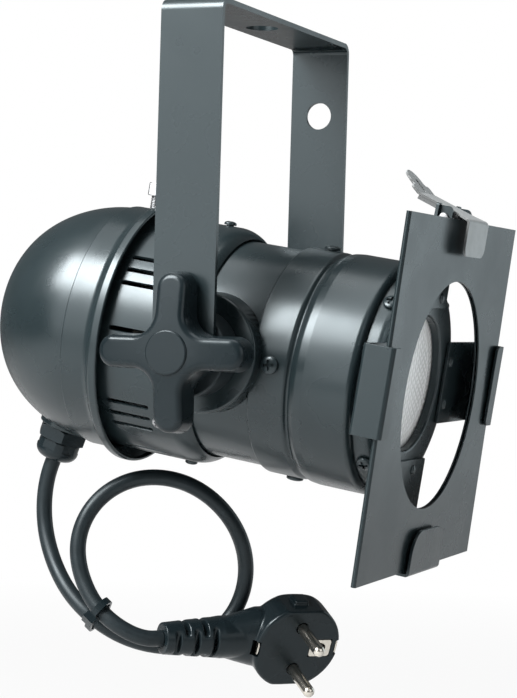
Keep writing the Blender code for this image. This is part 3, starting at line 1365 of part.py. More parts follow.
def smooth_curve(points, start_way, end_way, spacing):
    """Evenly spaced points on a cubic spline through the given points, with set end directions."""
    points = np.array([tuple(point) for point in points])
    chords = np.linalg.norm(np.diff(points, axis=0), axis=1)
    count = len(points)
    matrix = np.zeros((count, count))
    right = np.zeros((count, 3))
    matrix[0, 0] = matrix[-1, -1] = 1
    right[0] = start_way
    right[-1] = end_way
    for i in range(1, count - 1):
        before, after = chords[i - 1], chords[i]
        matrix[i, i - 1 : i + 2] = after, 2 * (before + after), before
        rise = after * (points[i] - points[i - 1]) / before + before * (points[i + 1] - points[i]) / after
        right[i] = 3 * rise
    slopes = np.linalg.solve(matrix, right)
    fine = []
    for i, chord in enumerate(chords):
        for share in np.linspace(0, 1, 24, endpoint=False):
            fine.append(hermite(points[i], points[i + 1], slopes[i] * chord, slopes[i + 1] * chord, share))
    fine = np.array(fine + [points[-1]])
    run = np.concatenate([[0], np.cumsum(np.linalg.norm(np.diff(fine, axis=0), axis=1))])
    places = np.linspace(0, run[-1], round(run[-1] / spacing) + 1)
    return np.stack([np.interp(places, run, fine[:, axis]) for axis in range(3)], axis=1)


def hermite(start, end, leave, arrive, share):
    rest = 1 - share
    ends = start * (1 + 2 * share) * rest**2 + end * share**2 * (3 - 2 * share)
    return ends + leave * share * rest**2 - arrive * share**2 * rest


def make_mains_lead(exit_height):
    bpy.context.view_layer.update()
    gland = GLAND.matrix_world
    start = gland @ Vector((0, 0, exit_height))
    leave = (gland.to_3x3() @ Vector((0, 0, 1))).normalized()
    plug = PLUG.matrix_world
    lead = (plug.to_3x3() @ Vector((1, 0, 0))).normalized()
    end = plug @ Vector((PLUG_NECK_REACH + RELIEF_LENGTH + GAP, 0, -PLUG_NECK_DEPTH))
    route = [start, start + leave * CORD_STRAIGHT, *ROUTE, end + lead * PLUG_STRAIGHT, end]
    points = smooth_curve(route, leave, -lead, CORD_SPACING)
    tube("mains_lead", points, CORD_DIAMETER / 2, black_rubber, 2)
    report_cord(points)
    first, second = (Vector(ROUTE[index]) for index in TIED_POINTS)
    ways = [Vector(ROUTE[index + 1]) - Vector(ROUTE[index - 1]) for index in TIED_POINTS]
    make_cable_tie(first, second, (ways[0].normalized() + ways[1].normalized()).normalized())


def report_cord(points):
    length = np.linalg.norm(np.diff(points, axis=0), axis=1).sum()
    apart = np.linalg.norm(points[:, None] - points[None], axis=2)
    index = np.arange(len(points))
    near = np.abs(index[:, None] - index[None]) < 5
    apart[near] = length
    print("mains lead: %.0f mm long, least gap to itself %.1f mm" % (1000 * length, 1000 * (apart.min() - CORD_DIAMETER)))


def make_cable_tie(first, second, along):
    """A flat band round both strands of the lead, with its small head."""
    centre = (first + second) / 2
    across = second - first
    across -= along * across.dot(along)
    half = across.length / 2
    across.normalize()
    out = across.cross(along)
    reach = CORD_DIAMETER / 2 + TIE_PLAY
    inner = arc((half, 0), reach, -90, 90, 8) + arc((-half, 0), reach, 90, 270, 8)
    outer = arc((half, 0), reach + TIE_WALL, -90, 90, 8) + arc((-half, 0), reach + TIE_WALL, 90, 270, 8)
    mesh = flat_mesh("cable_tie", outer, [inner], TIE_WIDTH)
    rotation = rotation_to(across, -out, along)
    tie = add_object("cable_tie", mesh, black_plastic, location=centre, rotation=rotation)
    low = (half - TIE_HEAD / 2, reach + TIE_WALL / 2, -TIE_HEAD / 2)
    high = (half + TIE_HEAD / 2, reach + TIE_WALL + TIE_HEAD / 2, TIE_HEAD / 2)
    head = add_cutter("tie_head", box_mesh("tie_head", low, high), location=centre, rotation=rotation)
    boolean(tie, head, "UNION")


def make_plug():
    """The moulded plug: face at zero, pins along Z, the lead leaving along X."""
    back = -PLUG_BODY_DEPTH
    rounded_back = arc((PLUG_FACE_RADIUS - PLUG_BACK_ROUND, back + PLUG_BACK_ROUND), PLUG_BACK_ROUND, 0, -90, 4)
    face = [(0, 0), (PLUG_FACE_RADIUS - SHEET, 0), (PLUG_FACE_RADIUS, -SHEET)] + rounded_back + [(0, back)]
    body = turned("plug_body", face, black_plastic, ROUND_STEPS - 8, parent=PLUG)
    wide = 2 * PLUG_FACE_RADIUS
    for side in (-1, 1):
        flat = sorted((side * PLUG_FLAT, side * wide))
        cutter = box_mesh("plug_flat", (-wide, flat[0], -wide), (wide, flat[1], wide))
        boolean(body, add_cutter(f"plug_flat_{side}", cutter, parent=PLUG))
        grip = sorted((side * PLUG_FLAT / 2, side * PLUG_GRIP_REACH))
        low = (-PLUG_GRIP_WIDTH / 2, grip[0], back + PLUG_BACK_ROUND)
        high = (PLUG_GRIP_WIDTH / 2, grip[1], back / 3)
        boolean(body, add_cutter(f"plug_grip_{side}", box_mesh("plug_grip", low, high), parent=PLUG), "UNION")
    make_plug_neck(body)
    for side, label in SIDES:
        pocket = rod(PIN_RADIUS + GAP, -PIN_ROOT - GAP, SHEET)
        place = dict(parent=PLUG, location=(0, side * PIN_SPACING / 2, 0))
        boolean(body, turned_cutter(f"pin_pocket_{label}", pocket, TINY_STEPS, **place))
        tip = arc((PIN_RADIUS / 2, PIN_LENGTH - PIN_RADIUS / 2), PIN_RADIUS / 2, 90, 0, 3)
        pin = [(0, PIN_LENGTH)] + tip + [(PIN_RADIUS, -PIN_ROOT), (0, -PIN_ROOT)]
        turned(f"plug_pin_{label}", pin, nickel_brass, SMALL_STEPS, **place)
    make_earth_socket(body)
    make_earth_clips(body)


def make_plug_neck(body):
    """The neck and the ribbed strain relief, turned about the lead's own line."""
    place = dict(parent=PLUG, location=(0, 0, -PLUG_NECK_DEPTH), rotation=(0, math.pi / 2, 0))
    end = PLUG_NECK_REACH + RELIEF_LENGTH
    profile = [
        (0, end),
        (RELIEF_END_RADIUS, end),
        (RELIEF_RADIUS, PLUG_NECK_REACH),
        (PLUG_NECK_RADIUS, PLUG_NECK_REACH - SHEET),
        (PLUG_NECK_RADIUS, PLUG_NECK_START),
        (0, PLUG_NECK_START),
    ]
    merge_round(body, "plug_neck", profile, SMALL_STEPS + 4, **place)
    flare = [(0, PLUG_NECK_FLARE[0][0])] + [(radius, along) for along, radius in PLUG_NECK_FLARE]
    flare += [(PLUG_NECK_RADIUS, PLUG_NECK_START), (0, PLUG_NECK_START)]
    cheeks = turned_cutter("plug_flare", flare, SMALL_STEPS + 4, **place)
    cheeks.scale.x = PLUG_NECK_FLATNESS
    boolean(body, cheeks, "UNION")
    wide = 2 * RELIEF_RADIUS
    pitch = RELIEF_LENGTH / RELIEF_SLOTS
    half = RELIEF_SLOT_WIDTH / 2
    for slot in range(2 * RELIEF_SLOTS - 1):
        where = PLUG_NECK_REACH + pitch / 2 * (slot + 1) - half
        for side in (-1, 1):
            span = sorted((side * RELIEF_CORE, side * wide))
            if slot % 2:
                low, high = (-half, span[0], -wide), (half, span[1], wide)
            else:
                low, high = (-half, -wide, span[0]), (half, wide, span[1])
            cutter = box_mesh("relief_slot", low, high)
            location = (where, 0, -PLUG_NECK_DEPTH)
            boolean(body, add_cutter(f"relief_slot_{slot}_{side}", cutter, parent=PLUG, location=location))


def make_earth_socket(body):
    place = dict(parent=PLUG, location=(-EARTH_HOLE_OFFSET, 0, 0))
    wide, high = (size / 2 for size in EARTH_PLATE)
    room = GAP + EARTH_PLATE_THICKNESS
    pocket = box_mesh("earth_pocket", (-wide - GAP, -high - GAP, -room), (wide + GAP, high + GAP, SHEET))
    boolean(body, add_cutter("earth_pocket", pocket, **place))
    deep = rod(EARTH_TUBE_RADIUS + GAP, -room - EARTH_TUBE_LENGTH, 0)
    boolean(body, turned_cutter("earth_bore", deep, SMALL_STEPS, **place))
    outline = [(-wide, -high), (wide, -high), (wide, high), (-wide, high)]
    mesh = flat_mesh("plug_earth_socket", outline, [circle((0, 0), EARTH_HOLE_RADIUS)], EARTH_PLATE_THICKNESS)
    mesh.transform(Matrix.Translation((0, 0, -EARTH_PLATE_THICKNESS / 2)))
    socket = add_object("plug_earth_socket", mesh, nickel_brass, **place)
    barrel = ring(EARTH_TUBE_RADIUS, EARTH_HOLE_RADIUS, -EARTH_TUBE_LENGTH, -EARTH_PLATE_THICKNESS / 2)
    merge_round(socket, "earth_tube", barrel, **place)


def make_earth_clips(body):
    half = EARTH_CLIP_WIDTH / 2
    for side, label in SIDES:
        inner = EARTH_CLIP_PLACE - EARTH_CLIP_THICKNESS
        spans = sorted((side * (inner - GAP), side * (PLUG_FACE_RADIUS + SHEET)))
        low = (spans[0], -half - GAP, -EARTH_CLIP_DEPTH - GAP)
        groove = box_mesh("clip_groove", low, (spans[1], half + GAP, SHEET))
        boolean(body, add_cutter(f"clip_groove_{label}", groove, parent=PLUG))
        span = sorted((side * inner, side * EARTH_CLIP_PLACE))
        name = f"plug_earth_clip_{label}"
        mesh = box_mesh(name, (span[0], -half, -EARTH_CLIP_DEPTH), (span[1], half, -SHEET / 2))
        add_object(name, mesh, nickel_brass, parent=PLUG)


def shade_smooth():
    for obj in PARTS.objects:
        if obj.type == "MESH":
            obj.data.shade_smooth()
            obj.data.set_sharp_from_angle(angle=math.radians(35))


def main():
    make_yoke()
    make_rear_body()
    make_neck_tube()
    make_front_barrel()
    make_front_ring()
    make_rear_cover()
    make_cover_lock()
    make_pivots()
    make_screws()
    make_gel_frame()
    make_channels()
    make_top_bracket()
    make_top_clip()
    make_clip_pin()
    make_clip_spring()
    make_lamp()
    make_lampholder()
    exit_height = make_gland()
    make_plug()
    make_mains_lead(exit_height)
    shade_smooth()


clear_scene()
PARTS = new_collection("par_can")
CUTTERS = new_collection("par_can_cutters")
CAN = add_pivot("can_pivot", location=(0, 0, -PIVOT_DROP), rotation=(REST_TILT, 0, 0))
GLAND = add_pivot(
    "gland_seat", CAN,
    on_can(0, GLAND_PLACE, -dome_radius((COVER_CREASE - GLAND_PLACE) / DOME_DEPTH, DOME_RADIUS)),
    (math.pi + GLAND_TILT, 0, 0),
)
PLUG_OUT = Vector(PLUG_PINS).normalized()
PLUG_ALONG = (Vector(PLUG_LEAD) - PLUG_OUT * PLUG_OUT.dot(Vector(PLUG_LEAD))).normalized()
PLUG = add_pivot("plug_centre", None, PLUG_CENTRE, rotation_to(PLUG_ALONG, PLUG_OUT.cross(PLUG_ALONG), PLUG_OUT))
main()
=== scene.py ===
import math

import bmesh
import bpy
import numpy as np
from bpy.props import FloatProperty, FloatVectorProperty, IntProperty, PointerProperty
from mathutils import Matrix, Vector


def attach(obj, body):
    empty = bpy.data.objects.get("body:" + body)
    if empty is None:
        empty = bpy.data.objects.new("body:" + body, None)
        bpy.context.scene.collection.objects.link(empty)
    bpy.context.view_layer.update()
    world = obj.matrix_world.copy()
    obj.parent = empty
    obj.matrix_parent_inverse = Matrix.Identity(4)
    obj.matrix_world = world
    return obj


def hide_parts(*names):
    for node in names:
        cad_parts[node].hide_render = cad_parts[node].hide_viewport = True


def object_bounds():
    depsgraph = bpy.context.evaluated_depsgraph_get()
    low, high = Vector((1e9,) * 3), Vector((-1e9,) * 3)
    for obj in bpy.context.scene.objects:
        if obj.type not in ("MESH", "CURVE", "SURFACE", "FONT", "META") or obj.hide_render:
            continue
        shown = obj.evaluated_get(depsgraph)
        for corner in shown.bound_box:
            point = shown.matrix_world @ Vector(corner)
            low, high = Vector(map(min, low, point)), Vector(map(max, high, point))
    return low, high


bl_info = {
    "name": "Par Can Spotlight",
    "version": (1, 0, 0),
    "blender": (4, 5, 0),
    "location": "3D View > Sidebar > Par Can",
    "description": "Builds a small black stage spotlight on its yoke, piece by piece",
    "category": "Add Mesh",
}

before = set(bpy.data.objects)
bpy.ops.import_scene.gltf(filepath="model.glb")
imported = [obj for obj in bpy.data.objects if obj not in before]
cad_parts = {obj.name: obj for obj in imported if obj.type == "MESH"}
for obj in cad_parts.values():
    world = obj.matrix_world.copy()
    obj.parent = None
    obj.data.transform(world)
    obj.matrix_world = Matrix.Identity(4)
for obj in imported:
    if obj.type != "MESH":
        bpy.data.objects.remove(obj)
CAD_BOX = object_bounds()

# The photograph's frame and the camera that fits it
PHOTO_WIDTH = 517
PHOTO_HEIGHT = 698
FOCAL_PIXELS = 2001.31
CENTRE_PIXEL = (289.16, 310.39)
CAMERA_PLACE = Vector((-0.73397, -0.31374, -0.11613))
CAMERA_YAW = math.radians(67.868)
CAMERA_PITCH = math.radians(0.138)
CAMERA_ROLL = math.radians(1.676)

# Where the lights point
LIT_MIDDLE = Vector((0, 0, -0.13))

# Gaps between neighbouring pieces, and how close two points are when they become one
GAP = 0.0003
RUNNING_GAP = 0.0005
WELD = 1e-7
WIRE_WELD = 1e-6

# The lead's route, as the solids have it
ROUTE = [
    (0.0001, 0.0918, -0.1913),
    (-0.0003, 0.0919, -0.2002),
    (-0.0021, 0.0896, -0.2095),
    (-0.0055, 0.0845, -0.2188),
    (-0.0097, 0.0770, -0.2276),
    (-0.0132, 0.0677, -0.2354),
    (-0.0135, 0.0581, -0.2420),
    (-0.0083, 0.0484, -0.2481),
    (0.0001, 0.0390, -0.2517),
    (0.0101, 0.0299, -0.2521),
    (0.0186, 0.0219, -0.2479),
    (0.0237, 0.0154, -0.2394),
    (0.0248, 0.0113, -0.2280),
    (0.0224, 0.0104, -0.2154),
    (0.0180, 0.0132, -0.2036),
    (0.0127, 0.0196, -0.1936),
    (0.0072, 0.0286, -0.1867),
    (0.0015, 0.0393, -0.1837),
    (-0.0041, 0.0501, -0.1851),
    (-0.0095, 0.0593, -0.1910),
    (-0.0142, 0.0652, -0.2006),
    (-0.0172, 0.0667, -0.2121),
    (-0.0187, 0.0636, -0.2235),
    (-0.0206, 0.0552, -0.2349),
    (-0.0203, 0.0460, -0.2417),
]
TIED_POINTS = (6, 23)
LEAD_STEP = 0.0015
CORD_STRAIGHT = 0.005
PLUG_STRAIGHT = 0.0045
PLUG_CENTRE = Vector((0.0245, -0.0133, -0.2519))
PLUG_PINS = Vector((-0.620, -0.680, -0.391))
PLUG_LEAD = Vector((-0.745, 0.667, 0.020))


def metres(default, description):
    return FloatProperty(default=default, description=description, unit="LENGTH", subtype="DISTANCE")


def angle(degrees, description):
    return FloatProperty(default=math.radians(degrees), description=description, subtype="ANGLE")


def number(default, description):
    return IntProperty(default=default, description=description, min=1)


def colour(default, description):
    return FloatVectorProperty(default=default, description=description, subtype="COLOR", min=0, max=1)


def share(default, description):
    return FloatProperty(default=default, description=description, subtype="FACTOR", min=0, max=1)


def power(watts, description):
    return FloatProperty(default=watts, description=description, unit="POWER")


class ParCanYoke(bpy.types.PropertyGroup):
    """The bent strip that the light hangs by, and what holds the can in it."""

    width: metres(0.025, "Width of the flat strip")
    thickness: metres(0.002, "Thickness of the flat strip")
    inside: metres(0.0642, "Distance from the middle to each arm")
    bend: metres(0.0035, "Radius of each bend at the strip's middle")
    drop: metres(0.131, "Height of the crossbar over the tilt axis")
    hang_hole: metres(0.013, "Diameter of the hole in the crossbar")
    safety_hole: metres(0.0114, "Diameter of the hole in the right arm")
    safety_height: metres(0.1005, "Height of that hole over the tilt axis")
    bolt: metres(0.008, "Diameter of the tilt bolts")
    boss_radius: metres(0.023, "Radius of the disc on each side of the neck")
    boss_face: metres(0.051, "Distance of the disc's face from the middle")
    spacer_radius: metres(0.0165, "Radius of the spacer inside each arm")


class ParCanKnob(bpy.types.PropertyGroup):
    """The cross knobs that clamp the yoke."""

    reach: metres(0.0298, "Length of each lobe from the middle")
    lobe: metres(0.0130, "Width of each lobe at its back")
    fillet: metres(0.0085, "Radius between two lobes")
    back: metres(0.0669, "Distance of the knob's back from the middle of the light")
    depth: metres(0.012, "Thickness of the lobes")
    collar: metres(0.0008, "Height of the collar behind the lobes")
    crown: metres(0.0028, "How far the lobes fall away towards their tips")
    edge: metres(0.0025, "Radius of the lobes' edges")
    pad_radius: metres(0.0083, "Radius of the disc in the middle")
    pad_height: metres(0.0007, "Height of the disc in the middle")


class ParCanHousing(bpy.types.PropertyGroup):
    """The turned shells of the can."""

    tilt: angle(8.4, "How far the lamp points down")
    sheet: metres(0.001, "Thickness of the shells")
    drum_radius: metres(0.0478, "Outer radius of the slotted drum")
    drum_back: metres(-0.0588, "Where the drum ends under the cover")
    shoulder: metres(0.010, "Radius of the drum's shoulder")
    shoulder_start: metres(-0.014, "Where the drum's shoulder begins")
    neck_radius: metres(0.0433, "Outer radius of the neck tube")
    neck_back: metres(-0.011, "Rear end of the neck tube")
    neck_front: metres(0.031, "Front end of the neck tube")
    barrel_back: metres(0.0184, "Rear edge of the front barrel")
    barrel_rear: metres(0.0451, "Radius behind the groove")
    barrel_radius: metres(0.0458, "Radius in front of the groove")
    barrel_front: metres(0.0608, "Front of the barrel's lip")
    barrel_lip: metres(0.0029, "Radius of the barrel's front lip")
    groove: metres(0.0345, "Place of the barrel's groove")
    groove_depth: metres(0.0014, "Depth of the barrel's groove")
    groove_half: metres(0.0013, "Half the width of the groove")
    swell: metres(0.0048, "Length over which the barrel widens in front of the groove")
    ring_radius: metres(0.0426, "Outer radius of the front ring")
    ring_front: metres(0.0699, "Front of the ring")
    ring_length: metres(0.020, "Length of the front ring")
    ring_round: metres(0.005, "Radius of the ring's front edge")
    opening: metres(0.0263, "Radius of the ring's opening")
    opening_lip: metres(0.0034, "Length of the opening's turned-in lip")
    cover_band: metres(0.0493, "Outer radius of the cover's band")
    cover_rim: metres(0.053, "Outer radius of the cover's rolled rim")
    cover_front: metres(-0.042, "Front of the cover's rim")
    rim_length: metres(0.0035, "Length of the rolled rim")
    flare: metres(0.003, "Length over which the rim widens")
    crease: metres(-0.060, "Where the dome begins")
    crease_step: metres(0.0008, "How far the dome is stepped in")
    dome_depth: metres(0.0466, "Depth of the dome")


class ParCanVents(bpy.types.PropertyGroup):
    """The cooling slots round the drum."""

    groups: number(10, "Number of groups round the drum")
    slots: number(3, "Number of slots in each group")
    start: angle(4, "Angle of the first group")
    pitch: angle(7, "Angle between two slots of a group")
    width: metres(0.0017, "Width of each slot")
    front: metres(-0.0225, "Front end of the slots")
    back: metres(-0.0405, "Rear end of the slots")


class ParCanHolder(bpy.types.PropertyGroup):
    """The gel frame and what holds it."""

    side: metres(0.135, "Length of each side of the gel frame")
    thickness: metres(0.002, "Thickness of the two leaves together")
    leaf: metres(0.0007, "Thickness of one leaf")
    hole: metres(0.0441, "Radius of the hole in the gel frame")
    front: metres(0.0806, "Place of the frame's front face")
    drop: metres(0.0025, "How far the frame's middle is below the axis")
    lean: angle(1.2, "How far the frame leans back in its channels")
    play: metres(0.0005, "Room beside the frame in its channels")
    sheet: metres(0.0012, "Thickness of the channels")
    bend: metres(0.001, "Radius of the channels' bends")
    channel_height: metres(0.033, "Length of the side channels")
    lip: metres(0.009, "Depth of the side channels' lips")
    slot: metres(0.0112, "Depth of the side channels")
    bottom_slot: metres(0.0129, "Depth of the bottom channel")
    tongue_width: metres(0.037, "Width of the bottom channel")
    tongue_length: metres(0.0175, "Height of the bottom channel's tongue")
    tongue_round: metres(0.009, "Radius of the tongue's corners")
    tongue_shift: metres(0.004, "How far the tongue is off the middle")
    foot: metres(0.030, "Distance of the channels' inner ends from the axis")
    rivet: metres(0.0021, "Radius of the rivets' heads")
    rivet_height: metres(0.0011, "Height of the rivets' heads")
    rivet_spacing: metres(0.017, "Distance between the two rivets of a channel")
    rivet_reach: metres(0.034, "Distance of the rivets from the axis")


class ParCanClip(bpy.types.PropertyGroup):
    """The sprung clip over the gel frame."""

    sheet: metres(0.0009, "Thickness of the clip")
    width: metres(0.0195, "Width of the clip over its pin")
    tab_width: metres(0.025, "Width of the tab in front")
    tab_round: metres(0.0042, "Radius of the tab's corners")
    shoulder: metres(0.004, "Length over which the strip narrows")
    wing: metres(0.0045, "How far the strip runs on beside the finger")
    flange: metres(0.0016, "Depth of the low flanges under the strip")
    slope: angle(18, "How steeply the clip slopes down to the front")
    lift: metres(0.0035, "Height of the strip over its pin")
    reach: metres(0.0094, "Length of the strip in front of its pin")
    tab: metres(0.0135, "Length of the tab in front of the gel frame")
    rear: metres(0.0145, "Length of the strip behind its pin")
    bend: metres(0.0016, "Radius of the clip's bends")
    finger_width: metres(0.0115, "Width of the raised finger")
    finger_length: metres(0.012, "Length of the raised finger")
    finger_angle: angle(24, "How far the finger is bent up")
    slot_width: metres(0.0022, "Width of the finger's slot")
    slot_length: metres(0.0065, "Length of the finger's slot")
    pin: metres(0.0022, "Diameter of the clip's pin")
    pin_place: metres(0.0735, "Place of the pin along the beam")
    pin_height: metres(0.0648, "Height of the pin over the axis")
    wire: metres(0.0008, "Diameter of the spring's wire")
    turns: number(4, "Turns of the spring")


class ParCanLead(bpy.types.PropertyGroup):
    """The mains lead, its gland and its plug."""

    diameter: metres(0.0065, "Diameter of the lead")
    gland_place: metres(-0.0773, "Place of the gland along the beam")
    gland_tilt: angle(12, "How far the gland points to the rear")
    hex_flats: metres(0.0185, "Size of the gland's hexagon")
    hex_height: metres(0.0052, "Height of the gland's hexagon")
    thread: metres(0.0075, "Radius of the gland's thread")
    nut_radius: metres(0.0088, "Radius of the gland's domed nut")
    nut_height: metres(0.0082, "Height of the domed nut")
    plug_radius: metres(0.019, "Radius of the plug's face")
    plug_depth: metres(0.0155, "Depth of the plug's round body")
    neck_radius: metres(0.0086, "Radius of the plug's neck")
    neck_depth: metres(0.0105, "How far the neck's middle is behind the face")
    neck_reach: metres(0.0325, "Where the strain relief begins")
    relief_length: metres(0.0235, "Length of the strain relief")
    relief_radius: metres(0.0084, "Radius of the relief at the neck")
    relief_end: metres(0.0064, "Radius of the relief at the cable")
    pin_radius: metres(0.0024, "Radius of the plug's pins")
    pin_length: metres(0.019, "Length of the plug's pins")
    pin_spacing: metres(0.019, "Distance between the plug's pins")
    earth_offset: metres(0.0102, "Distance of the earth socket from the middle")


class ParCanFinishes(bpy.types.PropertyGroup):
    """Colours and gloss of the materials."""

    paint: colour((0.009, 0.015, 0.017), "Colour of the satin black coat")
    plastic: colour((0.006, 0.010, 0.012), "Colour of the moulded plastic")
    rubber: colour((0.009, 0.013, 0.015), "Colour of the cable and the spacers")
    clip: colour((0.36, 0.38, 0.385), "Colour of the blackened clip")
    zinc: colour((0.42, 0.43, 0.44), "Colour of the plated steel")
    nickel: colour((0.60, 0.57, 0.51), "Colour of the plated brass")


class ParCanStudio(bpy.types.PropertyGroup):
    """The floor and the lights."""

    floor_drop: metres(0.12, "How far the floor is below the light's lowest point")
    key: power(42.0, "Power of the large light on the left")
    top: power(9.0, "Power of the light overhead")
    left: power(6.5, "Power of the low light on the left")
    side: power(3.0, "Power of the light behind, on the right")
    fill: power(3.0, "Power of the light on the right")
    world: share(0.05, "Strength of the light from all round")
    mirrored: share(0.10, "Share of the white background that a reflection shows")


# Outlines and turned profiles


def arc(centre, radius, start, end, steps):
    """Points on an arc, with its angles in degrees."""
    angles = [math.radians(start + (end - start) * step / steps) for step in range(steps + 1)]
    return [(centre[0] + radius * math.cos(a), centre[1] + radius * math.sin(a)) for a in angles]


def circle(centre, radius, steps=64):
    return arc(centre, radius, 0, 360 - 360 / steps, steps - 1)


def rounded(corners, steps=8):
    """An outline from corners (x, y, radius), each rounded by an arc."""
    points = []
    count = len(corners)
    for i, (x, y, radius) in enumerate(corners):
        here = Vector((x, y))
        if radius <= 0:
            points.append((x, y))
            continue
        before = (Vector(corners[i - 1][:2]) - here).normalized()
        after = (Vector(corners[(i + 1) % count][:2]) - here).normalized()
        half = before.angle(after) / 2
        middle = (before + after).normalized()
        centre = here + middle * (radius / math.sin(half))
        start = here + before * (radius / math.tan(half)) - centre
        end = here + after * (radius / math.tan(half)) - centre
        turn = math.atan2(start.x * end.y - start.y * end.x, start.dot(end))
        for step in range(steps + 1):
            by = turn * step / steps
            cos, sin = math.cos(by), math.sin(by)
            spun = Vector((start.x * cos - start.y * sin, start.x * sin + start.y * cos))
            points.append(tuple(centre + spun))
    return points


def oblong(left, right, low, high, lower_round, upper_round, steps=8):
    """A rectangle's outline, with one radius for its lower corners and one for its upper."""
    lower = [(left, low, lower_round), (right, low, lower_round)]
    return rounded(lower + [(right, high, upper_round), (left, high, upper_round)], steps)


def lathe(points, steps=144):
    """A closed body turned about Z from an outline (radius, height); two ends on the axis stay open there."""
    bm = bmesh.new()
    verts = [bm.verts.new((radius, 0, height)) for radius, height in points]
    closed = points[0][0] > WELD or points[-1][0] > WELD
    edges = [bm.edges.new(pair) for pair in zip(verts, verts[1:])]
    if closed:
        edges.append(bm.edges.new((verts[-1], verts[0])))
    bmesh.ops.spin(bm, geom=verts + edges, axis=(0, 0, 1), cent=(0, 0, 0), angle=math.tau, steps=steps)
    bmesh.ops.remove_doubles(bm, verts=bm.verts, dist=WELD)
    bmesh.ops.recalc_face_normals(bm, faces=bm.faces)
    return bm


def ring(outer, inner, low, high, edge=0.0002, steps=3):
    return rounded([(inner, high, edge), (outer, high, edge), (outer, low, edge), (inner, low, edge)], steps)


def rod(radius, low, high, edge=0.0):
    edge_points = arc((radius - edge, high - edge), edge, 90, 0, 4) if edge else [(radius, high)]
    return [(0, high)] + edge_points + [(radius, low), (0, low)]


def sheet_metal(outline, holes, thickness, start=None, folds=(), steps=8):
    """A flat sheet in XY with holes, bent along its Y. A fold: where it begins, its angle and its radius."""
    curve = bpy.data.curves.new("sheet", "CURVE")
    curve.dimensions = "2D"
    curve.fill_mode = "BOTH"
    curve.extrude = thickness / 2
    for loop in [outline, *holes]:
        spline = curve.splines.new("POLY")
        spline.points.add(len(loop) - 1)
        spline.use_cyclic_u = True
        for point, (x, y) in zip(spline.points, loop):
            point.co = (x, y, 0, 1)
    holder = add_object("sheet", curve)
    depsgraph = bpy.context.evaluated_depsgraph_get()
    flat = bpy.data.meshes.new_from_object(holder.evaluated_get(depsgraph))
    bpy.data.objects.remove(holder)
    bm = bmesh.new()
    bm.from_mesh(flat)
    bmesh.ops.remove_doubles(bm, verts=bm.verts, dist=WELD)
    bmesh.ops.recalc_face_normals(bm, faces=bm.faces)
    bmesh.ops.dissolve_limit(bm, angle_limit=math.radians(1), verts=bm.verts, edges=bm.edges)
    for begin, turn, radius in folds:
        for step in range(steps + 1):
            bmesh.ops.bisect_plane(
                bm, geom=bm.verts[:] + bm.edges[:] + bm.faces[:], dist=WELD,
                plane_co=(0, begin + abs(turn) * radius * step / steps, 0), plane_no=(0, 1, 0),
            )
    if start is not None:
        for vert in bm.verts:
            y, z, heading = place_on_strip(vert.co.y, start, folds)
            level = vert.co.z
            vert.co.y = y - level * math.sin(heading)
            vert.co.z = z + level * math.cos(heading)
    return bm


def place_on_strip(distance, start, folds):
    """Where a distance along a folded strip's middle line comes, and its heading there."""
    y, z, heading = start
    run = 0.0
    for begin, turn, radius in folds:
        if distance <= begin:
            break
        straight = begin - run
        y += straight * math.cos(heading)
        z += straight * math.sin(heading)
        length = abs(turn) * radius
        part = min(distance - begin, length)
        side = math.copysign(1, turn)
        by = side * part / radius
        y += radius * side * (math.sin(heading + by) - math.sin(heading))
        z -= radius * side * (math.cos(heading + by) - math.cos(heading))
        heading += by
        run = begin + part
        if distance <= begin + length:
            return y, z, heading
    rest = distance - run
    return y + rest * math.cos(heading), z + rest * math.sin(heading), heading


def prism(flats, low, high):
    """A hexagonal bar."""
    bm = bmesh.new()
    radius = corner_radius(flats)
    bmesh.ops.create_cone(bm, cap_ends=True, segments=6, radius1=radius, radius2=radius, depth=high - low)
    bmesh.ops.translate(bm, verts=bm.verts, vec=(0, 0, (low + high) / 2))
    return bm


def corner_radius(flats):
    """How far a hexagon's corners are from its middle."""
    return flats / 2 / math.cos(math.pi / 6)


def box(low, high):
    bm = bmesh.new()
    bmesh.ops.create_cube(bm, size=1.0)
    for vert in bm.verts:
        for axis in range(3):
            vert.co[axis] = low[axis] if vert.co[axis] < 0 else high[axis]
    return bm


def to_mesh(bm, name):
    mesh = bpy.data.meshes.new(name)
    bm.to_mesh(mesh)
    bm.free()
    return mesh


def add_object(name, data):
    obj = bpy.data.objects.new(name, data)
    bpy.context.scene.collection.objects.link(obj)
    return obj


def work_object(name, bm, matrix=None):
    """A new object, which later steps may cut, join or bend."""
    obj = add_object(name, to_mesh(bm, name))
    if matrix is not None:
        obj.data.transform(matrix)
    return obj


def combine(obj, other, operation="DIFFERENCE"):
    """Cuts the other object from this one or joins it, and keeps the plain result."""
    modifier = obj.modifiers.new(other.name, "BOOLEAN")
    modifier.operation = operation
    modifier.object = other
    modifier.solver = "EXACT"
    modifier.use_hole_tolerant = True
    settle(obj)
    bpy.data.objects.remove(other)
    return obj


def settle(obj):
    """Makes the object's modifiers part of its mesh."""
    depsgraph = bpy.context.evaluated_depsgraph_get()
    mesh = bpy.data.meshes.new_from_object(obj.evaluated_get(depsgraph), depsgraph=depsgraph)
    obj.modifiers.clear()
    obj.data = mesh
    return obj


def soften(obj, width, segments=3, limit=40):
    """Rounds the sharp edges."""
    modifier = obj.modifiers.new("Bevel", "BEVEL")
    modifier.width = width
    modifier.segments = segments
    modifier.limit_method = "ANGLE"
    modifier.angle_limit = math.radians(limit)
    modifier.harden_normals = False
    return settle(obj)


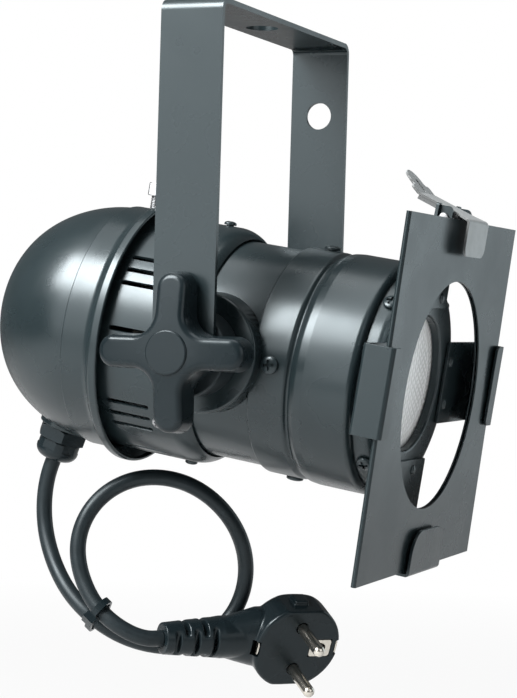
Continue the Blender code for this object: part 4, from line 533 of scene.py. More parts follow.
def dress(obj, slot, body, *nodes, limit=35, weighted=True):
    """Gives a piece its material, its smooth shading and its place in the frame."""
    obj.data.materials.clear()
    obj.data.materials.append(finish_for(slot))
    obj.data.shade_smooth()
    obj.data.set_sharp_from_angle(angle=math.radians(limit))
    if weighted:
        modifier = obj.modifiers.new("Normals", "WEIGHTED_NORMAL")
        modifier.keep_sharp = True
        modifier.weight = 100
        settle(obj)
    obj.data.name = obj.name
    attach(obj, body)
    if nodes:
        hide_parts(*nodes)
    return obj


# Places on the can: across is +X, forward is along the beam, up is over the axis


def can_matrix(scene):
    tilt = Matrix.Rotation(scene.par_can_housing.tilt, 4, "X")
    return Matrix.Translation((0, 0, -scene.par_can_yoke.drop)) @ tilt


def on_can(across, forward, up):
    return Vector((across, -forward, up))


def along_beam(scene):
    """The place in which a body turned about Z points along the beam."""
    return can_matrix(scene) @ Matrix.Rotation(math.pi / 2, 4, "X")


def radial(scene, turn, forward):
    """The place in which a body's Z points outwards at an angle round the beam."""
    spin = Matrix.Rotation(math.pi / 2 - turn, 4, "Y")
    return can_matrix(scene) @ Matrix.Translation(on_can(0, forward, 0)) @ spin


def oriented(across, along, out):
    return Matrix((across, along, out)).transposed().to_4x4()


def sideways(scene, side):
    """The place in which a body's Z points out of the left or right side."""
    return can_matrix(scene) @ Matrix.Rotation(side * math.pi / 2, 4, "Y")


SIDES = ((-1, "left"), (1, "right"))


# Finishes


def add_node(tree, kind, inputs=(), **settings):
    """A new node with its settings, and its inputs linked or set."""
    made = tree.nodes.new(kind)
    for key, value in settings.items():
        setattr(made, key, value)
    for key, value in dict(inputs).items():
        if isinstance(value, bpy.types.NodeSocket):
            tree.links.new(value, made.inputs[key])
        else:
            made.inputs[key].default_value = value
    return made


class Recipe:
    """One material: the shader, and nodes that start from the object's own coordinates."""

    def __init__(self, name, colour, roughness, metallic=0.0):
        self.material = bpy.data.materials.new(name)
        self.material.use_nodes = True
        self.tree = self.material.node_tree
        self.shader = self.tree.nodes["Principled BSDF"]
        self.colour = Vector(colour[:3])
        self.roughness = roughness
        self.put("Base Color", (*colour[:3], 1))
        self.put("Roughness", roughness)
        self.put("Metallic", metallic)
        self.place = self.node("ShaderNodeTexCoord").outputs["Object"]

    def put(self, socket, value):
        self.shader.inputs[socket].default_value = value

    def node(self, kind, inputs=(), **settings):
        return add_node(self.tree, kind, inputs, **settings)

    def noise(self, scale, detail=2.0, roughness=0.5, stretch=None):
        place = self.place
        if stretch is not None:
            place = self.node("ShaderNodeMapping", {"Vector": place, "Scale": stretch}).outputs["Vector"]
        inputs = {"Vector": place, "Scale": scale, "Detail": detail, "Roughness": roughness}
        return self.node("ShaderNodeTexNoise", inputs).outputs["Fac"]

    def spread(self, value, low, high, start=0.35, end=0.65):
        inputs = {"Value": value, "From Min": start, "From Max": end, "To Min": low, "To Max": high}
        return self.node("ShaderNodeMapRange", inputs).outputs["Result"]

    def painted_edge_shade_mask(self):
        """1 where the surface faces along the object's X, as the cut edges of a folded strip do."""
        normal = self.node("ShaderNodeTexCoord").outputs["Normal"]
        across = self.node("ShaderNodeSeparateXYZ", {"Vector": normal}).outputs["X"]
        return self.node("ShaderNodeMath", {0: across}, operation="ABSOLUTE").outputs["Value"]

    def tint(self, value, factor, most, start=0.35, end=0.65):
        """Mixes in a tone, or a factor of the finish's own colour, where the value is high."""
        share_of = self.spread(value, 0.0, most, start, end)
        below = self.shader.inputs["Base Color"]
        mix = self.node("ShaderNodeMix", data_type="RGBA")
        self.tree.links.new(share_of, mix.inputs["Factor"])
        if below.is_linked:
            self.tree.links.new(below.links[0].from_socket, mix.inputs["A"])
        else:
            mix.inputs["A"].default_value = below.default_value
        tone = Vector(factor) if isinstance(factor, tuple) else self.colour * factor
        mix.inputs["B"].default_value = (*tone, 1)
        self.tree.links.new(mix.outputs["Result"], below)

    def gloss(self, value, less, more):
        """Lets the roughness wander about its own value."""
        wander = self.spread(value, self.roughness - less, self.roughness + more)
        self.tree.links.new(wander, self.shader.inputs["Roughness"])

    def bump(self, value, strength, distance):
        inputs = {"Height": value, "Strength": strength, "Distance": distance}
        made = self.node("ShaderNodeBump", inputs)
        normal = self.shader.inputs["Normal"]
        if normal.is_linked:
            self.tree.links.new(normal.links[0].from_socket, made.inputs["Normal"])
        self.tree.links.new(made.outputs["Normal"], normal)


COOL = {"Specular Tint": (0.86, 0.96, 1.0, 1.0)}
MOULDED = {**COOL, "Specular IOR Level": 0.28}
GLAZED = {"Coat Weight": 0.6, "Coat Roughness": 0.08}
CLEAR = {"Transmission Weight": 0.25, "IOR": 1.47}

# For each slot: the material's name, its colour or the setting that holds it, roughness, metallic, other
# sockets, and the steps that vary it. A step is what it does, its noise (or None for the sides of a strip,
# which get painted shade), and its amounts.
FINISHES = {
    "satin_black": ("satin_black_coat", "paint", 0.28, 0.0, COOL, (
        ("gloss", (38, 4), 0.035, 0.05),
        ("tint", (17, 2), 1.3, 0.6, 0.35, 0.85),
        ("tint", (420, 3, 0.7), 1.8, 0.25, 0.62, 0.8),
        ("bump", (620, 2, 0.45), 0.10, 0.00008),
        ("bump", (3600, 1), 0.10, 0.00003),
    )),
    "black_plastic": ("moulded_black_plastic", "plastic", 0.26, 0.0, MOULDED, (
        ("gloss", (60, 3), 0.03, 0.05),
        ("tint", (30, 4, 0.6), 1.5, 0.5, 0.4, 0.75),
        ("bump", (2400, 2, 0.6), 0.22, 0.00006),
    )),
    "black_rubber": ("cable_rubber", "rubber", 0.40, 0.0, MOULDED, (
        ("gloss", (90, 3), 0.05, 0.06),
        ("tint", (140, 5, 0.65), 1.8, 0.5, 0.45, 0.75),
        ("bump", (1500, 3, 0.6), 0.18, 0.00008),
    )),
    "black_zinc": ("blackened_zinc", "clip", 0.42, 0.15, {}, (
        ("gloss", (160, 4), 0.04, 0.07),
        ("tint", (240, 4, 0.65), 0.8, 0.5, 0.45, 0.7),
        # Painted shade: the faces turned along X, the strip's cut edges, are darkened towards 0.2 of the
        # colour.
        ("tint", None, 0.2, 0.9, 0.5, 0.9),
        ("bump", (900, 3, 0.5, (1, 0.15, 0.15)), 0.08, 0.00004),
    )),
    "zinc_steel": ("bright_zinc", "zinc", 0.36, 1.0, {}, (
        ("gloss", (260, 4), 0.05, 0.08),
        ("tint", (700, 4, 0.7), 0.7, 0.6, 0.45, 0.7),
        ("bump", (1800, 2), 0.12, 0.00004),
    )),
    "nickel_plate": ("nickel_plate_on_brass", "nickel", 0.20, 1.0, {}, (
        ("gloss", (120, 3), 0.03, 0.05),
        ("bump", (1400, 2, 0.5, (1, 1, 0.1)), 0.03, 0.00002),
    )),
    "ceramic": ("glazed_ceramic", (0.80, 0.78, 0.73), 0.22, 0.0, GLAZED, (
        ("tint", (120, 4), (0.66, 0.63, 0.57), 0.5),
        ("bump", (260, 2), 0.12, 0.0001),
    )),
    "lamp_glass": ("pressed_glass", (0.97, 0.98, 0.98), 0.08, 0.0, CLEAR, (
        ("gloss", (140, 3), 0.03, 0.05),
        ("bump", (900, 2), 0.12, 0.0001),
    )),
    "mirror_coat": ("vapour_mirror", (0.88, 0.89, 0.89), 0.08, 1.0, {}, (
        ("gloss", (90, 3), 0.03, 0.06),
        ("bump", (160, 2), 0.15, 0.0004),
    )),
}


def finish_for(slot):
    """The material of a slot, made the first time that a piece asks for it."""
    name, tone, roughness, metallic, sockets, steps = FINISHES[slot]
    if name in bpy.data.materials:
        return bpy.data.materials[name]
    if isinstance(tone, str):
        tone = getattr(bpy.context.scene.par_can_finishes, tone)
    recipe = Recipe(name, tone, roughness, metallic)
    for socket, value in sockets.items():
        recipe.put(socket, value)
    for step, noise, *amounts in steps:
        value = recipe.noise(*noise) if noise else recipe.painted_edge_shade_mask()
        getattr(recipe, step)(value, *amounts)
    return recipe.material


# Geometry Nodes for the pieces that repeat


class Grower:
    """Builds one Geometry Nodes tree, with a named input for each size."""

    def __init__(self, name, inputs):
        self.tree = bpy.data.node_groups.new(name, "GeometryNodeTree")
        side = self.tree.interface
        side.new_socket("Geometry", in_out="INPUT", socket_type="NodeSocketGeometry")
        for label, kind in inputs:
            side.new_socket(label, in_out="INPUT", socket_type="NodeSocket" + kind)
        side.new_socket("Geometry", in_out="OUTPUT", socket_type="NodeSocketGeometry")
        self.given = self.tree.nodes.new("NodeGroupInput").outputs

    def node(self, kind, inputs=(), **settings):
        family = "" if kind.startswith(("Shader", "Function")) else "GeometryNode"
        return add_node(self.tree, family + kind, inputs, **settings)

    def sum(self, operation, first, second):
        return self.node("ShaderNodeMath", {0: first, 1: second}, operation=operation).outputs[0]

    def vector(self, x=0.0, y=0.0, z=0.0):
        return self.node("ShaderNodeCombineXYZ", {0: x, 1: y, 2: z}).outputs[0]

    def end(self, instances):
        """Turns the instances into one mesh with the material."""
        solid = self.node("RealizeInstances", {"Geometry": instances})
        coated = self.node("SetMaterial", {"Geometry": solid.outputs[0], "Material": self.given["Finish"]})
        out = self.tree.nodes.new("NodeGroupOutput")
        self.tree.links.new(coated.outputs[0], out.inputs["Geometry"])
        return self.tree


ROUND_INPUTS = (
    ("Piece", "Object"), ("Groups", "Int"), ("In a group", "Int"), ("Start", "Float"), ("Pitch", "Float"),
    ("Place", "Float"), ("Radius", "Float"), ("Any turn", "Float"), ("Seed", "Int"), ("Finish", "Material"),
)


def round_the_beam():
    """The tree that sets copies of a piece round the beam, in even groups, pointing outwards."""
    name = "round_the_beam"
    if name in bpy.data.node_groups:
        return bpy.data.node_groups[name]
    grower = Grower(name, ROUND_INPUTS)
    given = grower.given
    count = grower.sum("MULTIPLY", given["Groups"], given["In a group"])
    points = grower.node("Points", {"Count": count})
    index = grower.node("InputIndex").outputs[0]
    group = grower.sum("FLOOR", grower.sum("DIVIDE", index, given["In a group"]), 0.0)
    within = grower.sum("SUBTRACT", index, grower.sum("MULTIPLY", group, given["In a group"]))
    middle = grower.sum("DIVIDE", grower.sum("SUBTRACT", given["In a group"], 1.0), 2.0)
    step = grower.sum("MULTIPLY", grower.sum("SUBTRACT", within, middle), given["Pitch"])
    whole = grower.sum("DIVIDE", grower.sum("MULTIPLY", group, math.tau), given["Groups"])
    turn = grower.sum("ADD", grower.sum("ADD", given["Start"], whole), step)
    tip = grower.vector(y=grower.sum("SUBTRACT", math.pi / 2, turn))
    piece = grower.node("ObjectInfo", {"Object": given["Piece"]})
    inputs = {"Points": points.outputs[0], "Instance": piece.outputs["Geometry"], "Rotation": tip}
    placed = grower.node("InstanceOnPoints", inputs)
    back = grower.sum("MULTIPLY", given["Place"], -1.0)
    move = grower.vector(y=back, z=given["Radius"])
    moved = grower.node("TranslateInstances", {"Instances": placed.outputs[0], "Translation": move})
    chance = grower.node("FunctionNodeRandomValue", {"Seed": given["Seed"]}, data_type="FLOAT")
    grower.tree.links.new(given["Any turn"], chance.inputs[3])
    spin = grower.vector(z=chance.outputs[1])
    turned = grower.node("RotateInstances", {"Instances": moved.outputs[0], "Rotation": spin})
    return grower.end(turned.outputs[0])


RIVET_INPUTS = (
    ("Piece", "Object"), ("Feet", "Int"), ("Spacing", "Float"), ("Reach", "Float"), ("Finish", "Material"),
)


def rivets_on_feet():
    """The tree that sets two rivets on each bracket's foot, pointing along +Z."""
    grower = Grower("rivets_on_feet", RIVET_INPUTS)
    given = grower.given
    points = grower.node("Points", {"Count": grower.sum("MULTIPLY", given["Feet"], 2)})
    index = grower.node("InputIndex").outputs[0]
    foot = grower.sum("FLOOR", grower.sum("DIVIDE", index, 2.0), 0.0)
    side = grower.sum("SUBTRACT", grower.sum("SUBTRACT", index, grower.sum("MULTIPLY", foot, 2.0)), 0.5)
    place = grower.vector(x=grower.sum("MULTIPLY", side, given["Spacing"]), y=given["Reach"])
    turn = grower.sum("DIVIDE", grower.sum("MULTIPLY", foot, math.tau), given["Feet"])
    spun = grower.node("ShaderNodeVectorRotate", {"Vector": place, "Angle": turn}, rotation_type="Z_AXIS")
    moved = grower.node("SetPosition", {"Geometry": points.outputs[0], "Position": spun.outputs[0]})
    piece = grower.node("ObjectInfo", {"Object": given["Piece"]})
    inputs = {"Points": moved.outputs[0], "Instance": piece.outputs["Geometry"]}
    placed = grower.node("InstanceOnPoints", inputs)
    return grower.end(placed.outputs[0])


def grow(name, tree, **values):
    """Runs a tree with these inputs and keeps its result as a plain mesh."""
    holder = add_object(name, bpy.data.meshes.new(name))
    modifier = holder.modifiers.new(tree.name, "NODES")
    modifier.node_group = tree
    for item in tree.interface.items_tree:
        key = item.name.lower().replace(" ", "_")
        if item.in_out == "INPUT" and key in values:
            modifier[item.identifier] = values[key]
    holder.update_tag()
    settle(holder)
    bpy.data.objects.remove(values["piece"])
    return holder


# The studio


def photo_camera():
    """The camera that took the photograph, as far as the object's round and square parts tell."""
    ahead = Vector((
        math.sin(CAMERA_YAW) * math.cos(CAMERA_PITCH),
        math.cos(CAMERA_YAW) * math.cos(CAMERA_PITCH),
        math.sin(CAMERA_PITCH),
    ))
    level = Vector((math.cos(CAMERA_YAW), -math.sin(CAMERA_YAW), 0))
    over = level.cross(ahead)
    right = level * math.cos(CAMERA_ROLL) + over * math.sin(CAMERA_ROLL)
    up = over * math.cos(CAMERA_ROLL) - level * math.sin(CAMERA_ROLL)
    data = bpy.data.cameras.new("photo_camera")
    data.sensor_fit = "VERTICAL"
    data.lens = FOCAL_PIXELS * data.sensor_height / PHOTO_HEIGHT
    data.shift_x = (PHOTO_WIDTH / 2 - CENTRE_PIXEL[0]) / PHOTO_HEIGHT
    data.shift_y = (CENTRE_PIXEL[1] - PHOTO_HEIGHT / 2) / PHOTO_HEIGHT
    camera = add_object("photo_camera", data)
    camera.matrix_world = Matrix.Translation(CAMERA_PLACE) @ oriented(right, up, -ahead)
    bpy.context.scene.camera = camera


def soft_light(name, place, size, watts, tone=(1, 1, 1)):
    """A large area light turned to the middle of the object."""
    data = bpy.data.lights.new(name, "AREA")
    data.shape = "RECTANGLE"
    data.size, data.size_y = size
    data.energy = watts
    data.color = tone
    lamp = add_object(name, data)
    lamp.location = place
    lamp.rotation_euler = (LIT_MIDDLE - Vector(place)).to_track_quat("-Z", "Y").to_euler()


def sees_white(tree, mirrored):
    """How much a ray sees of the white background: all of it, or a share of it in a reflection."""
    path = add_node(tree, "ShaderNodeLightPath").outputs
    value = path["Is Glossy Ray"]
    straight, through = path["Is Camera Ray"], path["Is Transmission Ray"]
    for operation, other in (("MULTIPLY", mirrored), ("MAXIMUM", straight), ("MAXIMUM", through)):
        value = add_node(tree, "ShaderNodeMath", {0: value, 1: other}, operation=operation).outputs[0]
    return value


def studio_world(strength, mirrored):
    """Weak light from all round, and plain white behind the object."""
    world = bpy.data.worlds.new("studio")
    bpy.context.scene.world = world
    world.use_nodes = True
    tree = world.node_tree
    tree.nodes.clear()
    light, white = (
        add_node(tree, "ShaderNodeBackground", {"Color": (1, 1, 1, 1), "Strength": level}).outputs[0]
        for level in (strength, 1.0)
    )
    mix = add_node(tree, "ShaderNodeMixShader", {"Fac": sees_white(tree, mirrored), 1: light, 2: white})
    add_node(tree, "ShaderNodeOutputWorld", {"Surface": mix.outputs[0]})


def floor_paper(height, mirrored):
    """A wide pale disc of paper. Far from the light it turns into the white behind it."""
    radius, fade_start, fade_end, least_white = 6.0, 0.35, 1.3, 0.72
    bm = bmesh.new()
    bmesh.ops.create_circle(bm, cap_ends=True, segments=96, radius=radius)
    floor = work_object("paper_floor", bm, Matrix.Translation((0, 0, height)))
    recipe = Recipe("pale_paper", colour=(0.60, 0.60, 0.60), roughness=0.85)
    recipe.bump(recipe.noise(scale=240, detail=3), strength=0.05, distance=0.0004)
    away = recipe.node("ShaderNodeVectorMath", {0: recipe.place}, operation="LENGTH").outputs["Value"]
    far, seen = recipe.spread(away, least_white, 1.0, fade_start, fade_end), sees_white(recipe.tree, mirrored)
    share_white = recipe.node("ShaderNodeMath", {0: far, 1: seen}, operation="MULTIPLY").outputs[0]
    glow = recipe.node("ShaderNodeEmission", {"Color": (1, 1, 1, 1), "Strength": 1.0}).outputs[0]
    mix = recipe.node("ShaderNodeMixShader", {"Fac": share_white, 1: recipe.shader.outputs[0], 2: glow})
    recipe.tree.links.new(mix.outputs[0], recipe.tree.nodes["Material Output"].inputs["Surface"])
    floor.data.materials.append(recipe.material)


def make_studio(scene):
    """The photograph's camera, the paper floor and the soft lamps round the object."""
    studio = scene.par_can_studio
    photo_camera()
    floor_paper(CAD_BOX[0][2] - studio.floor_drop, studio.mirrored)
    studio_world(studio.world, studio.mirrored)
    soft_light("key_light", (-0.75, 0.55, 0.75), (0.7, 0.6), studio.key)
    soft_light("left_light", (-1.05, 0.50, 0.20), (0.8, 1.0), studio.left)
    soft_light("top_light", (-0.1, 0.0, 1.15), (1.0, 1.0), studio.top)
    soft_light("side_light", (1.05, -0.75, 0.05), (0.8, 0.9), studio.side, (0.82, 0.95, 1.0))
    soft_light("fill_light", (-0.5, -1.1, 0.25), (0.8, 0.8), studio.fill)
    scene.view_settings.view_transform = "Standard"


# The plug and the mains lead


def plug_matrix():
    """The plug's place: X towards its lead, Z along its pins, and zero at the middle of its face."""
    out = PLUG_PINS.normalized()
    along = (PLUG_LEAD - out * out.dot(PLUG_LEAD)).normalized()
    return Matrix.Translation(PLUG_CENTRE) @ oriented(along, out.cross(along), out)


def cylinder_cutter(name, radius, low, high, place=None):
    """A round bar for a hole."""
    return work_object(name, lathe(rod(radius, low, high), 48), place)


# The plug's moulding
FACE_ROUND = 0.0014
BACK_ROUND = 0.004
PLUG_FLAT = 0.0172
GRIP_REACH = 0.0192
GRIP_HALF_WIDTH = 0.003
NECK_START = 0.006
NECK_STEP = 0.001
CHEEKS = [
    (0, 0.0305), (0.0084, 0.0305), (0.0106, 0.0235), (0.0128, 0.016), (0.0128, 0.011), (0.0086, NECK_START),
]
CHEEK_FLATNESS = 0.75
RELIEF_SLOTS = 5
RELIEF_SLOT_HALF = 0.001
RELIEF_CORE = 0.004
MOULD_VOXEL = 0.00042
MOULD_SMOOTHING = 5

# The plug's contacts
PIN_ROOT = 0.005
POCKET_RISE = 0.001
EARTH_PLATE = (0.0092, 0.0076)
EARTH_PLATE_SHEET = 0.001
EARTH_PLATE_ROUND = 0.0012
EARTH_POCKET_DEPTH = 0.0013
EARTH_HOLE_RADIUS = 0.0024
EARTH_TUBE_RADIUS = 0.0032
EARTH_TUBE_LENGTH = 0.010
EARTH_BORE_DEPTH = 0.0112
EARTH_CLIP_PLACE = 0.018
EARTH_CLIP_HALF = 0.0031
EARTH_CLIP_LENGTH = 0.0068
EARTH_CLIP_ROUND = 0.0014
EARTH_CLIP_SHEET = 0.0008
EARTH_CLIP_FOOT_ROUND = 0.0006
EARTH_CLIP_GAP = 0.0003
EARTH_GROOVE_SET_BACK = 0.0011
EARTH_GROOVE_DEPTH = 0.0073


def plug_shape(lead):
    """The moulded body before its sockets are cut: face at zero, pins along Z, the lead leaving along X."""
    depth, radius = lead.plug_depth, lead.plug_radius
    profile = [(0, 0)] + arc((radius - FACE_ROUND, -FACE_ROUND), FACE_ROUND, 90, 0, 6)
    profile += arc((radius - BACK_ROUND, BACK_ROUND - depth), BACK_ROUND, 0, -90, 10)
    body = work_object("plug_body_moulded", lathe(profile + [(0, -depth)], 96))
    wide = 2 * radius
    for side in (-1, 1):
        near, far = sorted((side * PLUG_FLAT, side * wide))
        combine(body, work_object("flat", box((-wide, near, -wide), (wide, far, wide))))
        near, far = sorted((side * PLUG_FLAT / 2, side * GRIP_REACH))
        grip = box((-GRIP_HALF_WIDTH, near, BACK_ROUND - depth), (GRIP_HALF_WIDTH, far, -depth / 3))
        combine(body, work_object("grip", grip), "UNION")
    end = lead.neck_reach + lead.relief_length
    neck = [(0, end), (lead.relief_end, end), (lead.relief_radius, lead.neck_reach)]
    neck_end = lead.neck_reach - NECK_STEP
    neck += [(lead.neck_radius, neck_end), (lead.neck_radius, NECK_START), (0, NECK_START)]
    axis = Matrix.Translation((0, 0, -lead.neck_depth)) @ Matrix.Rotation(math.pi / 2, 4, "Y")
    combine(body, work_object("neck", lathe(neck, 64), axis), "UNION")
    flattened = axis @ Matrix.Diagonal((CHEEK_FLATNESS, 1, 1, 1))
    combine(body, work_object("cheeks", lathe(CHEEKS + [(0, NECK_START)], 64), flattened), "UNION")
    cut_relief(body, lead)
    return body


def cut_relief(body, lead):
    """Cross slots, one pair after another, so that the relief bends."""
    pitch = lead.relief_length / (RELIEF_SLOTS + 1)
    half = RELIEF_SLOT_HALF
    wide = 2 * lead.relief_radius
    for slot in range(RELIEF_SLOTS):
        where = lead.neck_reach + pitch * (slot + 1) - half
        place = Matrix.Translation((where, 0, -lead.neck_depth))
        for side in (-1, 1):
            near, far = sorted((side * RELIEF_CORE, side * wide))
            low, high = (-half, -wide, near), (half, wide, far)
            if slot % 2:
                low, high = (-half, near, -wide), (half, far, wide)
            combine(body, work_object("slot", box(low, high), place))


def mould(obj):
    """Gives a joined body the soft edges of a moulding."""
    remesh = obj.modifiers.new("Remesh", "REMESH")
    remesh.mode = "VOXEL"
    remesh.voxel_size = MOULD_VOXEL
    smooth = obj.modifiers.new("Smooth", "SMOOTH")
    smooth.factor = 0.5
    smooth.iterations = MOULD_SMOOTHING
    return settle(obj)


def make_plug(scene):
    """The plug with its pins, earth socket and earth springs. Returns all its pieces."""
    lead = scene.par_can_lead
    place = plug_matrix()
    body = mould(plug_shape(lead))
    for side in (-1, 1):
        beside = Matrix.Translation((0, side * lead.pin_spacing / 2, 0))
        pocket = cylinder_cutter("pin_pocket", lead.pin_radius + GAP, -PIN_ROOT - GAP, POCKET_RISE, beside)
        combine(body, pocket)
    earth = Matrix.Translation((-lead.earth_offset, 0, 0))
    wide, high = (size / 2 for size in EARTH_PLATE)
    pocket = box((-wide - GAP, -high - GAP, -EARTH_POCKET_DEPTH), (wide + GAP, high + GAP, POCKET_RISE))
    combine(body, work_object("earth_pocket", pocket, earth))
    combine(body, cylinder_cutter("earth_bore", EARTH_TUBE_RADIUS + GAP, -EARTH_BORE_DEPTH, 0, earth))
    groove_half = EARTH_CLIP_HALF + EARTH_CLIP_GAP
    for side in (-1, 1):
        floor, outside = EARTH_CLIP_PLACE - EARTH_GROOVE_SET_BACK, lead.plug_radius + POCKET_RISE
        near, far = sorted((side * floor, side * outside))
        groove = box((near, -groove_half, -EARTH_GROOVE_DEPTH), (far, groove_half, POCKET_RISE))
        combine(body, work_object("clip_groove", groove))
    body.data.transform(place)
    dress(body, "black_plastic", "can", "plug_body", limit=50, weighted=False)
    pieces = [body]
    tip = arc((0, lead.pin_length - lead.pin_radius), lead.pin_radius, 0, 90, 12)
    for side, label in SIDES:
        beside = place @ Matrix.Translation((0, side * lead.pin_spacing / 2, 0))
        profile = [(0, -PIN_ROOT), (lead.pin_radius, -PIN_ROOT)] + tip
        pin = work_object(f"contact_pin_{label}", lathe(profile, 40), beside)
        pieces.append(dress(pin, "nickel_plate", "can", f"plug_pin_{label}"))
    pieces.append(make_earth_socket(place @ earth, wide, high))
    return pieces + [make_earth_clip(place, side, label) for side, label in SIDES]


def make_earth_socket(place, wide, high):
    """A small plate in the plug's face, with a tube behind its hole."""
    outline = oblong(-wide, wide, -high, high, EARTH_PLATE_ROUND, EARTH_PLATE_ROUND)
    sheet = sheet_metal(outline, [circle((0, 0), EARTH_HOLE_RADIUS)], EARTH_PLATE_SHEET)
    middle = -EARTH_PLATE_SHEET / 2
    plate = work_object("earth_socket_plate", sheet, Matrix.Translation((0, 0, middle)))
    tube = ring(EARTH_TUBE_RADIUS, EARTH_HOLE_RADIUS, -EARTH_TUBE_LENGTH, middle)
    combine(plate, work_object("tube", lathe(tube, 48)), "UNION")
    soften(plate, width=0.00015, segments=2)
    plate.data.transform(place)
    return dress(plate, "nickel_plate", "can", "plug_earth_socket")


def make_earth_clip(place, side, label):
    """A flat spring strip in a groove of the plug's edge."""
    half = EARTH_CLIP_HALF
    outline = oblong(-half, half, 0, EARTH_CLIP_LENGTH, EARTH_CLIP_FOOT_ROUND, EARTH_CLIP_ROUND)
    strip = work_object(f"earth_spring_{label}", sheet_metal(outline, [], EARTH_CLIP_SHEET))
    soften(strip, width=0.0002, segments=2)
    out, up = Vector((side, 0, 0)), Vector((0, 0, 1))
    seat = (side * (EARTH_CLIP_PLACE - EARTH_CLIP_SHEET / 2), 0, -EARTH_CLIP_LENGTH - EARTH_CLIP_GAP)
    strip.data.transform(Matrix.Translation(seat) @ oriented(up.cross(out), up, out))
    strip.data.transform(place)
    return dress(strip, "nickel_plate", "can", f"plug_earth_clip_{label}")


def smooth_curve(points, start_way, end_way, spacing, fineness=24):
    """Evenly spaced points on a cubic spline through the given points, with set end directions."""
    points = np.array([tuple(point) for point in points])
    chords = np.linalg.norm(np.diff(points, axis=0), axis=1)
    count = len(points)
    matrix = np.zeros((count, count))
    right = np.zeros((count, 3))
    matrix[0, 0] = matrix[-1, -1] = 1
    right[0] = start_way
    right[-1] = end_way
    for i in range(1, count - 1):
        before, after = chords[i - 1], chords[i]
        matrix[i, i - 1 : i + 2] = after, 2 * (before + after), before
        rise = after * (points[i] - points[i - 1]) / before + before * (points[i + 1] - points[i]) / after
        right[i] = 3 * rise
    slopes = np.linalg.solve(matrix, right)
    fine = []
    for i, chord in enumerate(chords):
        for part in np.linspace(0, 1, fineness, endpoint=False):
            fine.append(hermite(points[i], points[i + 1], slopes[i] * chord, slopes[i + 1] * chord, part))
    fine = np.array(fine + [points[-1]])
    run = np.concatenate([[0], np.cumsum(np.linalg.norm(np.diff(fine, axis=0), axis=1))])
    places = np.linspace(0, run[-1], round(run[-1] / spacing) + 1)
    return np.stack([np.interp(places, run, fine[:, axis]) for axis in range(3)], axis=1)


def hermite(start, end, leave, arrive, part):
    """A place on the curve between two points, each with its own slope."""
    rest = 1 - part
    ends = start * (1 + 2 * part) * rest**2 + end * part**2 * (3 - 2 * part)
    return ends + leave * part * rest**2 - arrive * part**2 * rest


def bar_curve(name, points, radius):
    """A round bar along the points, as a curve."""
    curve = bpy.data.curves.new(name, "CURVE")
    curve.dimensions = "3D"
    curve.bevel_depth = radius
    curve.bevel_resolution = 6
    curve.use_fill_caps = True
    spline = curve.splines.new("POLY")
    spline.points.add(len(points) - 1)
    for point, place in zip(spline.points, points):
        point.co = (*place, 1)
    return add_object(name, curve)


def make_mains_lead(scene):
    """The lead with its tie and its plug, as one cord."""
    lead = scene.par_can_lead
    plug_pieces = make_plug(scene)
    place = gland_matrix(scene)
    ways = place.to_3x3()
    exit_height = gland_heights(lead)["nut_high"] - GAP
    start = place @ Vector((0, 0, exit_height))
    leave = (ways @ Vector((0, 0, 1))).normalized()
    plug = plug_matrix()
    out = (plug.to_3x3() @ Vector((1, 0, 0))).normalized()
    end = plug @ Vector((lead.neck_reach + lead.relief_length + GAP, 0, -lead.neck_depth))
    route = [start, start + leave * CORD_STRAIGHT, *ROUTE, end + out * PLUG_STRAIGHT, end]
    points = smooth_curve(route, leave, -out, LEAD_STEP)
    length = float(np.linalg.norm(np.diff(points, axis=0), axis=1).sum())
    cable = bar_curve("mains_cable", points, lead.diameter / 2)
    cable.data.materials.append(finish_for("black_rubber"))
    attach(cable, "can")
    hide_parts("mains_lead")
    tie = make_cable_tie(lead)


def make_cable_tie(lead):
    """A flat band round both strands, with its ratchet head."""
    first, second = (Vector(ROUTE[index]) for index in TIED_POINTS)
    ways = [(Vector(ROUTE[index + 1]) - Vector(ROUTE[index - 1])).normalized() for index in TIED_POINTS]
    along = (ways[0] + ways[1]).normalized()
    across = second - first
    across -= along * across.dot(along)
    half = across.length / 2
    across.normalize()
    play, wall, wide, head = 0.0009, 0.0012, 0.0028, 0.0024
    reach = lead.diameter / 2 + play
    inner, outer = (
        arc((half, 0), radius, -90, 90, 24) + arc((-half, 0), radius, 90, 270, 24)
        for radius in (reach, reach + wall)
    )
    band = work_object("tie_band", sheet_metal(outer, [inner], wide))
    block = box((half - head, reach + wall / 2, -head), (half + head, reach + wall + head, head))
    combine(band, work_object("tie_head", block), "UNION")
    soften(band, width=0.0004, segments=3)
    out = across.cross(along)
    band.data.transform(Matrix.Translation((first + second) / 2) @ oriented(across, -out, along))
    return dress(band, "black_plastic", "can", "cable_tie")


# The gland

GLAND_PAD_HEIGHT = 0.0006


def gland_matrix(scene):
    """The place of the gland's seat on the dome, with +Z pointing out of it."""
    lead = scene.par_can_lead
    housing = scene.par_can_housing
    share_along = (housing.crease - lead.gland_place) / housing.dome_depth
    seat = on_can(0, lead.gland_place, -dome_radius(share_along, dome_start(housing)))
    return can_matrix(scene) @ Matrix.Translation(seat) @ Matrix.Rotation(math.pi + lead.gland_tilt, 4, "X")


def gland_heights(lead):
    """Where the hexagon and the domed nut begin and end along the gland's axis."""
    hex_low = GLAND_PAD_HEIGHT + GAP
    hex_high = hex_low + lead.hex_height
    nut_low = hex_high + GAP
    nut_high = nut_low + lead.nut_height
    return {"hex_low": hex_low, "hex_high": hex_high, "nut_low": nut_low, "nut_high": nut_high}


def turned_corners(obj, radius, low, high, chamfer):
    """Turns the corners off a hexagon's ends, as on a bar-made nut."""
    inside, outside, slant = radius - chamfer * 1.7, radius + chamfer * 0.6, chamfer * 1.3
    profile = [(0, high), (inside, high), (outside, high - slant)]
    profile += [(outside, low + slant), (inside, low), (0, low)]
    return combine(obj, work_object("turned_corners", lathe(profile, 72)), "INTERSECT")


